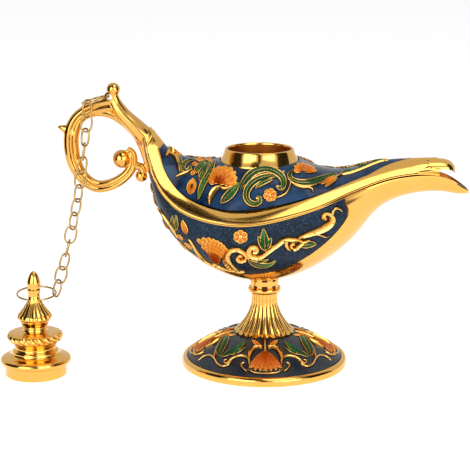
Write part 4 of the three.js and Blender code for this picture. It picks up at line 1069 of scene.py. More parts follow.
turns = ring_section(48)
outline = np.sign(turns) * np.abs(turns) ** OVAL * [LINK_HALF_WIDE, LINK_HALF_LONG]
link_names = sorted(name for name in frame["nodes"] if name.startswith("chain_link"))
for name in link_names:
    centre, (length_axis, width_axis, normal) = solid_axes(name)
    path = centre + width_axis * outline[:, :1] + length_axis * outline[:, 1:]
    wire(path, normal).piece("wire_" + name, wire_gold, name, "chain_gold", [name])

for name, radius in (("handle_ring", 4.6), ("stopper_ring", 6.5)):
    centre, (first, second, normal) = solid_axes(name)
    turns = ring_section(72)
    path = centre + radius * (first * turns[:, :1] + second * turns[:, 1:])
    wire(path, normal).piece("wire_" + name, wire_gold, name, "chain_gold", [name])
print("chain:", len(link_names), "links and two rings")

# %% [markdown]
# ## Stopper
# The stopper is turned and then chased: a plug that fits the mouth, a wide flange, a disc with slanting notches on its
# edge, a cup, a fluted bell, a neck with an eye for the ring, and a pointed bud. It is drawn as one outline and carved
# like the foot.

# %% Stopper
stopper_low, stopper_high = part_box("stopper")
STOPPER_CENTRE = ((stopper_low.x + stopper_high.x) / 2 / MM, (stopper_low.y + stopper_high.y) / 2 / MM, 0.0)
BELL_FLUTES = 15
DISC_NOTCHES = 19
STOPPER_BORE = 1.12
STOPPER_CRISP = 48.0
stopper_outline = profile(
    [(0.0, 6.9), (4.0, 6.6), (7.4, 5.0), (8.9, 3.0), (8.95, 0.0)],
    [(8.95, 0.0), (9.85, 0.0)],
    [(9.85, 0.0), (10.1, 0.2), (10.2, 0.7), (10.2, 3.7)],
    [(10.2, 3.7), (10.5, 3.95), (11.3, 4.25), (11.72, 4.8), (11.75, 5.4), (11.4, 6.0), (10.6, 6.4)],
    [(10.6, 6.4), (9.2, 6.75), (8.1, 7.3)],
    [(8.1, 7.3), (7.85, 7.75), (7.75, 8.3), (7.45, 8.75)],
    [(7.45, 8.75), (7.0, 9.1), (6.85, 9.6), (6.95, 10.1)],
    [(6.95, 10.1), (7.3, 10.8), (7.8, 11.4), (8.2, 11.75)],
    [(8.2, 11.75), (8.75, 12.1), (9.2, 12.7), (9.35, 13.4), (9.15, 14.1), (8.6, 14.5), (7.5, 14.8), (5.6, 15.0)],
    [(5.6, 15.0), (4.6, 15.1), (4.1, 15.5), (3.95, 16.0)],
    [(3.95, 16.0), (4.1, 16.4), (4.05, 16.8)],
    [(4.05, 16.8), (4.4, 17.4), (4.85, 18.3), (5.1, 19.0)],
    [(5.1, 19.0), (5.75, 19.5), (5.85, 20.0), (5.55, 20.8), (4.5, 22.1), (3.25, 23.8), (2.4, 25.2), (2.0, 26.5)],
    [(2.0, 26.5), (1.9, 27.2), (2.0, 28.2), (2.25, 29.2)],
    [(2.25, 29.2), (2.05, 29.5), (1.95, 29.7)],
    [(1.95, 29.7), (2.15, 30.3), (2.28, 31.2), (2.1, 32.4), (1.6, 33.8), (0.9, 35.0), (0.0, 35.6)], steps=9)


def stopper_chasing(angle, radius, height):
    flute = ribs(angle, BELL_FLUTES) * window(height, 19.15, 26.0, 0.5) * 0.055 * radius * (radius > 1.5)
    slant = np.mod(angle + 0.10 * (height - 13.0), 2 * math.pi)
    notch = ribs(slant, DISC_NOTCHES) * window(height, 11.9, 14.7, 0.6) * 0.80 * (radius > 7.6)
    return flute + notch, 0.0


stopper_piece = turned("stopper_casting", stopper_outline, 240, polished_gold, ["stopper"], "stopper",
                       crisp=STOPPER_CRISP, centre=STOPPER_CENTRE, carve=stopper_chasing)
pivot = [j for j in frame["record"]["behaviour"]["joints"] if j["child"] == "stopper"][0]["pos_m"]
drill(stopper_piece, STOPPER_BORE, STOPPER_CENTRE[0] - DRILL_REACH, STOPPER_CENTRE[0] + DRILL_REACH,
      (pivot[1] / MM, pivot[2] / MM), "X", EYE_SIDES)
dress(stopper_piece, polished_gold, "stopper", ["stopper"], STOPPER_CRISP)
print("stopper:", BELL_FLUTES, "flutes and", DISC_NOTCHES, "notches")

# %% [markdown]
# ## Screw and washer
# A screw from below clamps foot, knop and bowl together. Only the hollow foot shows it, so the frame's own solids stay
# and get a plain brushed steel.

# %% Screw and washer
steel = Finish("brushed_steel", Metallic=1.0)
streaks = steel.noise(500.0, 3.0, 0.6, (1.0, 1.0, 12.0))
steel.feed(Base_Color=steel.blend(streaks, colour(0.42, 0.42, 0.41), colour(0.58, 0.58, 0.57)),
           Roughness=0.25 + 0.2 * streaks,
           Normal=steel.bump(streaks, 0.2, 0.00005))
for name in ("foot_screw", "foot_washer"):
    mesh = frame["nodes"][name].data
    mesh.materials.clear()
    mesh.materials.append(steel.material)
print("steel on the screw and washer")

# %% [markdown]
# ## Laying ornament on a surface
# The gilt scrolls and leaves are cast in one with the body and stand up to a millimetre above the enamel. Each
# one starts as a line of places in the picture. Lines of sight carry these places to the surface, and a ribbon with a
# moulded section is laid along them, square to the surface. So every leaf sits on the body from any side, and the
# other half of the lamp gets the mirror image.

# %% Laying ornament on a surface
class Ground:
    """A surface that ornament is laid on, with smooth normals."""

    def __init__(self, rows, outward):
        normals = np.cross(np.gradient(rows, axis=0), np.gradient(rows, axis=1))
        normals /= np.linalg.norm(normals, axis=2)[:, :, None] + 1e-12
        middle = normals[rows.shape[0] // 2, rows.shape[1] // 2]
        self.normals = (normals if middle @ np.asarray(outward, float) > 0 else -normals).reshape(-1, 3)
        height, width = rows.shape[:2]
        index = np.arange(height * width).reshape(height, width)
        self.quads = np.stack([index[:-1, :-1], index[:-1, 1:], index[1:, 1:], index[1:, :-1]], axis=2).reshape(-1, 4)
        self.tree = BVHTree.FromPolygons([Vector(p) for p in rows.reshape(-1, 3)], self.quads.tolist())

    def seen(self, places):
        """Points of the surface at places in the picture, or nearest to their lines of sight."""
        made = []
        for u, v in places:
            line = Vector(sight(u, v))
            start = Vector(EYE_POINT)
            hit = self.tree.ray_cast(start, line)[0]
            if hit is None:
                tries = [self.tree.find_nearest(start + line * d) for d in np.arange(430.0, 560.0, 2.0)]
                hit = min(tries, key=lambda t: t[3])[0]
            made.append(hit)
        return np.array(made)

    def drop(self, points):
        """The nearest surface points and their normals."""
        places, normals = [], []
        for point in points:
            place, _, face, _ = self.tree.find_nearest(Vector(point))
            places.append(place)
            normals.append(self.normals[self.quads[face]].mean(0))
        normals = np.array(normals)
        return np.array(places), normals / np.linalg.norm(normals, axis=1)[:, None]


SPACING = 0.28
# Width and height of the painted shade line along the relief.
SHADE_LINE_REACH = 0.40
SHADE_LINE_HEIGHT = 0.07
CORD_LIFT = 0.35
SPIRAL_STEPS = 14
SPIRAL_SHRINK = 0.82
UNDER = [(1.0, -0.7), (-1.0, -0.7)]
ROUND = [(-math.cos(a), math.sin(a)) for a in np.linspace(0, math.pi, 9)] + UNDER
GUTTER = [(-1, 0), (-0.96, 0.6), (-0.8, 1.0), (-0.58, 0.86), (-0.35, 0.6), (0, 0.5), (0.35, 0.6), (0.58, 0.86),
          (0.8, 1.0), (0.96, 0.6), (1, 0)] + UNDER
FOLD = [(-1, 0), (-0.92, 0.5), (-0.55, 1.0), (-0.2, 0.8), (0, 0.45), (0.2, 0.8), (0.55, 1.0), (0.92, 0.5),
        (1, 0)] + UNDER
PILLOW = [(-1, 0), (-0.9, 0.5), (-0.6, 0.88), (0, 1.0), (0.6, 0.88), (0.9, 0.5), (1, 0)] + UNDER
CORD = ring_section(8)


def leaf_shape(f):
    return np.sin(math.pi * np.clip(f, 0, 1) ** 0.85) ** 0.8 + 0.03


def petal_shape(f):
    return np.where(f < 0.62, 0.30 + 0.70 * np.sin(math.pi / 2 * f / 0.62),
                    np.sqrt(np.clip(1 - ((f - 0.62) / 0.385) ** 2, 0.02, 1)))


class Ornament:
    """Relief on one ground: cast gold, and enamel fills by colour."""

    def __init__(self, ground):
        self.ground = ground
        self.gold = Grids()
        self.fills = {}

    def fill(self, name):
        return self.fills.setdefault(name, Grids())

    def line(self, points):
        """A smooth even line on the surface, with its normals and a share from 0 to 1. The points are in space, or
        places in the picture."""
        points = np.asarray(points, float)
        if points.shape[1] == 2:
            points = self.ground.seen(points)
        path = even_path(smooth_path(points, 8), SPACING)
        path, normals = self.ground.drop(path)
        return path, normals, np.linspace(0, 1, len(path))

    def cord(self, path, normals, radius):
        taper = np.minimum(1, 0.35 + 3 * np.minimum(np.linspace(0, 1, len(path)), np.linspace(1, 0, len(path))))
        rows = tube(path + normals * (radius * CORD_LIFT), normals, radius * taper, radius * taper, CORD)
        self.gold.closed(rows)

    def pool(self, path, normals, halves):
        """Painted shade: a near-black line on both sides of the relief, for its shade and its thicker enamel."""
        rows = tube(path, normals, halves + SHADE_LINE_REACH, np.full(len(path), SHADE_LINE_HEIGHT), PILLOW)
        self.fill("pool").closed(rows)

    def scroll(self, points, widths, height=0.75, section=GUTTER):
        """A gilt scroll; widths are half widths in millimetres, spread evenly along it."""
        path, normals, f = self.line(points)
        halves = np.interp(f, np.linspace(0, 1, len(widths)), widths)
        self.pool(path, normals, halves)
        heights = height * np.minimum(1.0, 0.25 + 0.9 * halves / max(widths))
        rows = tube(path, normals, halves, heights, section)
        self.gold.closed(rows)

    def leaf(self, points, half, fill, height=0.6, edge=0.19, vein=0.07, shape=leaf_shape, section=FOLD, flip=False):
        """An enamelled leaf or petal with a gilt edge."""
        path, normals, f = self.line(points)
        halves = np.maximum(half * shape(f), 0.06)
        self.pool(path, normals, halves + edge)
        heights = height * (0.35 + 0.65 * np.sin(math.pi * np.clip(f, 0.02, 0.98)))
        rows = tube(path, normals, halves, heights, section)
        tone = (1 - f if flip else f)[:, None] * np.ones((1, len(section)))
        self.fill(fill).closed(rows, tone=0.15 + 0.75 * tone)
        if edge:
            for column in (0, len(section) - 3):
                self.cord(rows[:, column] + normals * 0.16, normals, edge)
        if vein:
            self.cord(path + normals * (heights * 0.5)[:, None], normals, vein)

    def boss(self, centre, radius, rise=0.8):
        """A gilt bead; rise is its height as a share of the radius."""
        place, normal, right, up = self.spot(centre)
        rows = []
        for angle in np.linspace(-0.25, math.pi / 2, 9):
            turn = np.linspace(0, 2 * math.pi, 18, endpoint=False)[:, None]
            ring = radius * math.cos(angle) * (right * np.cos(turn) + up * np.sin(turn))
            rows.append(place + ring + normal * radius * rise * math.sin(angle))
        self.gold.closed(rows)

    def spot(self, centre):
        """A point of the surface, its normal, and the directions that look to the right and upward from the front."""
        points = self.ground.seen([centre]) if len(centre) == 2 else [centre]
        place, normal = (value[0] for value in self.ground.drop(points))
        right = RIGHT - normal * (RIGHT @ normal)
        right /= np.linalg.norm(right)
        up = np.cross(normal, right)
        return place, normal, right, up if up[2] > -0.2 else -up

    def flower(self, centre, radius, petals, fill, turn=0.0, heart=0.32):
        """An open flower with a domed heart."""
        place, normal, right, up = self.spot(centre)
        for k in range(petals):
            angle = turn + 2 * math.pi * k / petals
            way = right * math.cos(angle) + up * math.sin(angle)
            spine = [place + way * radius * r for r in (0.18, 0.5, 0.8, 1.0)]
            self.leaf(spine, radius * math.sin(math.pi / petals) * 0.72, fill, 0.55, 0.21, 0.0, petal_shape, PILLOW)
        self.boss(place + normal * 0.25, radius * heart)

    def finish(self, name, colours, nodes=(), mirror=True):
        """Makes the pieces, with the mirror image for the other half of the lamp."""
        sets = {name + "_gilt": (self.gold, cast_gold)}
        sets.update({name + "_" + key: (grids, colours[key]) for key, grids in self.fills.items()})
        for piece_name, (grids, material) in sets.items():
            if mirror:
                count = grids.count
                grids.points += [points * [1, -1, 1] for points in grids.points]
                grids.tones += grids.tones
                grids.faces += [tuple(i + count for i in face[::-1]) for face in grids.faces]
            grids.piece(piece_name, material, "lamp", "gold", nodes, 60.0)
        print(name + ":", ", ".join(sets))


def spiral(centre, radius, start, turns):
    """Places in the picture on a spiral that winds inward; angles in degrees, clockwise when turns is positive."""
    made = []
    for f in np.linspace(0, 1, SPIRAL_STEPS):
        angle = math.radians(start) + 2 * math.pi * turns * f
        reach = radius * (1 - SPIRAL_SHRINK * f)
        made.append((centre[0] + reach * math.cos(angle), centre[1] + reach * math.sin(angle)))
    return made


def fan_ray(base, angle, reach, shares):
    """Places in the picture along a ray from a base; the angle is in degrees, clockwise from upright."""
    way = np.array([math.sin(math.radians(angle)), -math.cos(math.radians(angle))])
    return [np.array(base) + way * reach * share for share in shares]


# The dark line of painted shade along the relief gets its own near-black finish.
COLOURS = {"green": leaf_green, "orange": petal_orange, "red": bell_red, "pool": deep_pool}
print("ornament helpers ready")

# %% [markdown]
# ## Ornament of the bowl
# A vine runs along each side of the bowl. From the spout it comes in with a hook and a horn, rolls into spirals, and
# ends in a broad C-scroll beside a thistle head with rows of scales. Leaves fill its bends, and a six-petalled flower
# stands alone above it.

# %% Ornament of the bowl
bowl_side = Ornament(Ground(bowl_ground, (0, 0, -1)))
bowl_side.scroll([(341.7, 211.4), (339.5, 209.2), (337, 208.2), (334.3, 209), (332.6, 211.6), (331.6, 216)],
                 [0.18, 0.42, 0.5, 0.42, 0.4, 0.45], 0.7, ROUND)
bowl_side.scroll([(325.8, 219.4), (322.6, 217.6), (323.4, 215), (326.6, 214.6), (330, 216.6), (331.6, 220),
                  (329.6, 223.6), (325, 227), (318.5, 230.2), (311, 232.8), (303.5, 235.4), (297, 238.8)],
                 [0.5, 0.85, 1.0, 1.05, 1.2, 1.35, 1.3, 1.15, 1.0, 0.9, 0.75, 0.3], 1.0)
bowl_side.scroll([(308, 239.6), (302.5, 241.6), (297, 239.6), (291.6, 238.8), (287, 238.8), (282.4, 240.2),
                  (277.8, 243.8), (272, 247.8), (267, 251.6), (262.5, 255), (258, 256.6)]
                 + spiral((254.0, 250.0), 6.4, 75, 1.15),
                 [0.25, 0.7, 0.8, 0.8, 0.8, 0.8, 0.8, 0.8, 0.85, 0.9, 0.95, 0.9, 0.85, 0.75, 0.55], 0.95)
bowl_side.boss((254.3, 249.8), 0.62)
bowl_side.scroll([(309, 233.6), (315, 233.4), (320.7, 235), (324.8, 236.6), (328.5, 236.0)],
                 [0.7, 0.62, 0.5, 0.42, 0.15], 0.8, ROUND)
bowl_side.scroll([(309, 239.6), (303, 241.8), (298.5, 245.4)] + spiral((293.4, 244.6), 4.6, 20, 0.9),
                 [0.3, 0.6, 0.65, 0.65, 0.6, 0.5, 0.35], 0.85)
bowl_side.boss((293.6, 244.6), 0.5)
bowl_side.scroll([(289, 239.6), (286.4, 241.4), (286.2, 244.8), (287.6, 248.2), (290.2, 250.4)],
                 [0.3, 0.62, 0.66, 0.58, 0.2], 0.8, ROUND)
bowl_side.leaf([(300.2, 245.6), (305, 244.6), (310, 243.8), (316, 244.2)], 1.25, "green", 0.75)
bowl_side.leaf([(264.8, 250.5), (264.6, 244), (264.0, 236.5), (263.3, 228.2)], 1.25, "green", 0.8)
bowl_side.leaf([(264.4, 250), (262.4, 245), (260.4, 240.6), (257.8, 236)], 0.85, "green", 0.65, vein=0.0)
bowl_side.leaf([(265.2, 250), (267.4, 245.6), (269.2, 241.6), (271.2, 237.4)], 0.85, "green", 0.65, vein=0.0)
bowl_side.leaf([(248.4, 259.8), (254, 263), (260.5, 265), (267, 264.6), (272, 263), (275.8, 260.2)], 1.15,
               "green", 0.7)
bowl_side.leaf([(252, 260), (258, 261.4), (263.5, 260.6), (268.6, 258.8)], 0.6, "green", 0.5, 0.17, 0.0)
bowl_side.flower((240.6, 236.7), 2.35, 6, "orange", math.radians(30), 0.34)
bowl_side.scroll([(249.5, 258.6), (246.6, 255.6), (243, 251.6), (238.6, 249.4), (233.6, 249), (229, 251.4),
                  (226.8, 256), (227.6, 261.4), (231, 266), (236, 269.6), (240.6, 271.2), (244.6, 271)],
                 [0.35, 0.7, 0.8, 0.85, 0.95, 1.2, 1.45, 1.5, 1.35, 1.1, 0.8, 0.25], 1.0)
bowl_side.scroll([(246.4, 256.4), (244.8, 259.4)] + spiral((240.6, 256.6), 4.1, 40, 0.95),
                 [0.4, 0.65, 0.7, 0.7, 0.6, 0.4], 0.9)
bowl_side.boss((240.7, 256.5), 0.6)

THISTLE_BASE = (216.4, 264.6)
THISTLE_EDGE = [(-37, 32.5), (-27, 31.0), (-17, 28.9), (-7, 26.4), (4, 24.2), (17, 22.0), (31, 19.6)]


def on_thistle(angle, shares):
    """Places along one ray of the head: share 1 is its scalloped edge."""
    return fan_ray(THISTLE_BASE, angle, np.interp(angle, *zip(*THISTLE_EDGE)), shares)


for share, angles in ((1.0, np.linspace(-35, 30, 8)), (0.87, np.linspace(-31, 26, 7)),
                      (0.75, np.linspace(-35, 30, 8)), (0.63, np.linspace(-31, 26, 7))):
    for angle in angles:
        spine = on_thistle(angle, (share - 0.22, share - 0.14, share - 0.06, share))
        bowl_side.leaf(spine, 0.66, "orange", 1.2 - 0.6 * share, 0.19, 0.0, petal_shape, PILLOW)
for angle in np.linspace(-30, 26, 8):
    bowl_side.leaf(on_thistle(angle, (0.05, 0.2, 0.38, 0.54)), 0.46, "red", 0.95, 0.19, 0.0)
bowl_side.scroll([(213.5, 262.5), (216.5, 265.8), (219, 268.2), (223, 270.6), (228, 272.9), (234, 275)],
                 [0.3, 0.8, 0.6, 0.5, 0.4, 0.15], 0.8, ROUND)
bowl_side.scroll([(189, 239), (193.6, 245.3), (199.6, 254.6), (205.4, 261), (211, 264.4), (216, 266.6)],
                 [0.2, 0.5, 0.55, 0.6, 0.6, 0.4], 0.8, ROUND)
bowl_side.scroll([(157.4, 208.6), (159.6, 209.4), (162.4, 213), (166, 218.2), (170.4, 224.4), (174.4, 230.6),
                  (178, 236.6)], [0.25, 0.5, 0.55, 0.5, 0.5, 0.45, 0.3], 0.8, ROUND)
bowl_side.leaf([(163.2, 219.6), (164.6, 223), (166.6, 226), (169.6, 229)], 0.75, "orange", 0.6)
bowl_side.leaf([(175.4, 230.4), (173.6, 225), (172.8, 220), (173.2, 215.4)], 0.7, "green", 0.6, 0.14)
bowl_side.leaf([(175.8, 230), (176.6, 225), (176.8, 220), (176.2, 214.6)], 0.7, "green", 0.6, 0.14)
bowl_side.leaf([(186.4, 233.6), (185.4, 229), (184, 224.6), (182.8, 219.8)], 1.0, "orange", 0.75)
bowl_side.flower((180.6, 236.8), 1.25, 5, "orange", 0.4)
bowl_side.flower((188.6, 245.4), 1.55, 6, "orange", 0.2)
bowl_side.leaf([(178, 239.6), (180.6, 243.4), (184.4, 248), (189.6, 253.6)], 0.8, "orange", 0.6)
bowl_side.leaf([(198.4, 260.4), (202, 262.8), (206, 264.8), (211, 267.4)], 0.7, "orange", 0.6)
for places in ([(150.6, 183), (152, 188), (153.6, 193.4)], [(153.6, 194), (155.2, 200), (157.4, 206)]):
    bowl_side.leaf(places, 0.75, "orange", 0.6)
bowl_side.finish("bowl_ornament", COLOURS, ["bowl_enamel"])

# %% [markdown]
# ## Ornament of the cover
# Each half of the cover carries a fan-shaped flower with a long leaf beside it, two large green scrolls that roll
# towards the spout, a small flower, and a vine that runs out along the spout. A tight cluster of leaves and a bud
# fills the slope at the handle end.

# %% Ornament of the cover
cover_side = Ornament(Ground(cover_ground, (0, 0, 1)))
FAN_BASE = (218.6, 183.6)
for angle, reach, half in ((-78, 9.6, 0.95), (-58, 12.4, 1.05), (-38, 14.4, 1.1), (-18, 16.0, 1.15), (2, 17.0, 1.2),
                           (21, 18.6, 1.25), (39, 20.6, 1.3), (56, 20.8, 1.3), (73, 19.8, 1.25), (91, 18.6, 1.1)):
    cover_side.leaf(fan_ray(FAN_BASE, angle, reach, (0.22, 0.5, 0.8, 1.0)), half, "orange", 0.95, 0.19,
                    0.14, petal_shape)
for angle, reach in ((-60, 6.5), (-20, 8.0), (20, 8.6), (55, 9.0), (88, 8.0)):
    cover_side.leaf(fan_ray(FAN_BASE, angle, reach, (0.0, 0.35, 0.7, 1.0)), 0.55, "red", 1.25, 0.16, 0.0)
cover_side.scroll([(221, 187.4), (217.6, 188.6), (214.4, 191), (211.6, 195.4), (209.8, 200), (209.4, 204.4)],
                  [0.5, 0.85, 0.9, 0.9, 0.65, 0.2], 0.9)
cover_side.scroll([(220, 186.8), (224.6, 188.4), (229.4, 187.2), (233.6, 185)], [0.4, 0.6, 0.5, 0.2], 0.8, ROUND)
cover_side.leaf([(198.4, 199.4), (200.4, 191.4), (203, 184.2), (206.8, 177.4), (211, 169.6), (215.2, 161.2)],
                1.0, "green", 0.85, 0.22, flip=True)
cover_side.leaf([(220.6, 203), (226, 198), (231.4, 192.6), (235.6, 187.6), (239.4, 182.4)], 1.35, "green", 0.8)
cover_side.leaf([(199.6, 181.4), (201.8, 176.4), (204.4, 171.4), (207.4, 166.4)], 0.8, "green", 0.6, 0.16)

SCROLL_A = [(240.4, 188.6), (244.6, 181.6), (250.2, 175.2), (257.4, 171), (265.6, 169.6), (273.4, 171.2), (280, 175.4),
            (283.4, 181), (283, 186.4), (279.6, 188.8), (277.6, 186.2)]
SCROLL_B = [(275, 176.2), (268, 176.4), (260.4, 178.4), (253, 182.4), (248, 188.4), (246.2, 195.4), (248.6, 201.4),
            (254, 204), (259.2, 202.2), (260, 198), (257, 197)]
LEAF_C = [(272.6, 179.4), (266.6, 180.6), (260.8, 183.6), (255.6, 188.4)]


def broad_scroll(side, points, widths):
    """A rolled acanthus leaf: a green band with a gilt cord along each edge and one inside."""
    path, normals, f = side.line(points)
    halves = np.interp(f, np.linspace(0, 1, len(widths)), widths)
    side.pool(path, normals, halves + 0.26)
    rows = tube(path, normals, halves, 0.35 + 0.35 * halves, FOLD)
    side.fill("green").closed(rows, tone=0.2 + 0.45 * f[:, None] * np.ones((1, len(FOLD))))
    for column in (0, len(FOLD) - 3):
        side.cord(rows[:, column] + normals * 0.2, normals, 0.23)
    side.cord(rows[:, 4], normals, 0.09)


broad_scroll(cover_side, SCROLL_A, [0.4, 1.05, 1.25, 1.35, 1.35, 1.35, 1.3, 1.15, 0.9, 0.7, 0.4])
broad_scroll(cover_side, SCROLL_B, [0.4, 0.9, 1.05, 1.1, 1.1, 1.05, 0.95, 0.85, 0.75, 0.6, 0.35])
cover_side.leaf(LEAF_C, 0.85, "green", 0.7, 0.2)
for place, radius in (((277.4, 186.4), 0.6), ((257.2, 198), 0.6), ((283.4, 171.6), 0.45)):
    cover_side.boss(place, radius)
cover_side.flower((270.0, 195.0), 2.2, 6, "orange", 0.3, 0.3)
cover_side.scroll([(275.4, 197.8), (281, 196), (285.6, 193.2), (288.8, 188.6), (290, 183.4), (289.6, 179)],
                  [0.25, 0.35, 0.36, 0.36, 0.34, 0.25], 0.6, ROUND)
broad_scroll(cover_side, [(293.4, 171.4), (289.6, 174.2), (290.4, 178.6), (295.4, 181.6), (302.6, 183),
                          (310.4, 182.6), (318.6, 180.4), (327, 177), (335, 174)],
             [0.3, 0.7, 0.9, 1.1, 1.2, 1.15, 1.0, 0.8, 0.3])
cover_side.scroll([(290.6, 181.4), (295.4, 185), (302, 187.2), (308.4, 187.4), (312, 189), (313.2, 193)],
                  [0.25, 0.4, 0.42, 0.42, 0.36, 0.15], 0.65, ROUND)
FAR_BASE = (302.5, 173.0)
for angle, reach in ((-72, 9.4), (-48, 10.6), (-22, 10.4), (8, 9.8), (36, 10.4), (60, 12.6), (78, 13.6)):
    cover_side.leaf(fan_ray(FAR_BASE, angle, reach, (0.2, 0.5, 0.8, 1.0)), 0.95, "orange", 0.7, 0.16, 0.0,
                    petal_shape)
cover_side.leaf([(321, 184.4), (325.4, 181.4), (330, 178.6), (335.6, 176)], 0.8, "orange", 0.6)
cover_side.leaf([(325, 187), (329.4, 183.4), (333.6, 180), (337.6, 175)], 0.7, "orange", 0.6)
cover_side.scroll([(333.4, 181), (336.6, 177.4), (342, 175), (350, 173.4), (358.6, 170.4), (367, 167),
                   (376, 163.4), (383, 161.2), (388, 160.8)],
                  [0.25, 0.45, 0.42, 0.4, 0.4, 0.4, 0.4, 0.36, 0.2], 0.65, ROUND)
for places in ([(341, 174.6), (346, 171.8), (352, 171), (357, 169.6)],
               [(356, 170.6), (362, 167), (368, 165.6), (373, 163.6)],
               [(370, 165), (376, 162), (381, 160.8), (386, 159.8)]):
    cover_side.leaf(places, 0.75, "green", 0.6, 0.15)

cover_side.scroll([(165.6, 156), (167.4, 152.8), (170.4, 152.2), (173.6, 155), (176.8, 160.4), (178.8, 166.6),
                   (179.6, 172)], [0.35, 0.75, 0.8, 0.75, 0.6, 0.45, 0.2], 0.9)
cover_side.scroll([(175.6, 176.8), (181.6, 174.2), (187.6, 172), (192.4, 169.6)], [0.2, 0.5, 0.42, 0.2], 0.7, ROUND)
cover_side.leaf([(182.6, 172), (180.6, 166), (179.4, 160.4), (179.4, 155.4)], 0.75, "green", 0.65, 0.17)
broad_scroll(cover_side, [(193, 160), (187.4, 161.6), (183.6, 165), (183.2, 169.4), (186.6, 171), (190, 168.8),
                          (189.8, 166)], [0.3, 0.6, 0.7, 0.65, 0.6, 0.5, 0.3])
cover_side.boss((188.6, 167.6), 0.5)
cover_side.leaf([(192.6, 165.6), (195, 164.4), (197.6, 163.6)], 0.8, "orange", 0.8)
cover_side.leaf([(194.4, 174), (197.6, 169.4), (201.4, 165), (205.6, 161.2)], 0.95, "green", 0.65, 0.17)
cover_side.leaf([(198.6, 177), (201.6, 172), (205.4, 167), (210, 162)], 0.9, "green", 0.65, 0.17)
for angle in (-70, -30, 10, 50):
    cover_side.leaf(fan_ray((178.4, 154.6), angle, 4.6, (0.1, 0.4, 0.75, 1.0)), 0.6, "orange", 0.6, 0.14,
                    0.0, petal_shape, PILLOW)
cover_side.flower((200, 157.8), 1.5, 5, "orange", 0.5)
cover_side.leaf([(205, 160.6), (208.4, 158.6), (212.6, 157.4)], 0.7, "orange", 0.6)
cover_side.leaf([(191, 175.4), (193, 173.4), (195.2, 170.6)], 0.6, "orange", 0.7)
cover_side.leaf([(190.4, 194.4), (191, 189.4), (192.2, 184), (193.4, 178.4)], 1.45, "orange", 0.8, 0.2)
cover_side.leaf([(191.6, 190.4), (192.2, 187.4), (193, 183.6)], 0.6, "green", 1.1, 0.0, 0.0)
cover_side.finish("cover_ornament", COLOURS, ["cover_enamel"])

# %% [markdown]
# ## Ornament of the foot
# On the foot the pattern goes round: four bell flowers, and beside the front and the back one broad leaves that grow
# from curling stems. One half of a quarter is drawn, mirrored, and turned round the foot.

# %% Ornament of the foot
foot_rows = lathe(np.array([(r, foot_top(r) - 0.05) for r in np.linspace(DISC_EDGE - 0.5, HEM_RADIUS - 0.4, 40)]), 181)
foot_side = Ornament(Ground(np.concatenate([foot_rows, foot_rows[:, :1]], axis=1), (0, 0, 1)))


def on_foot(places, quarter):
    """Points of the foot by radius and by degrees from the front."""
    made = []
    for radius, degrees in places:
        angle = math.radians(90 * quarter + degrees)
        made.append((radius * math.sin(angle), -radius * math.cos(angle), float(foot_top(radius))))
    return np.array(made)


def turned_places(places, quarter, mirror):
    """Places on the right half of the front quarter, mirrored and turned round the foot."""
    points = foot_side.ground.seen(places)
    if mirror:
        points = points * [-1, 1, 1]
    angle = math.pi / 2 * quarter
    turn = np.array([[math.cos(angle), -math.sin(angle), 0], [math.sin(angle), math.cos(angle), 0], [0, 0, 1]])
    return points @ turn.T


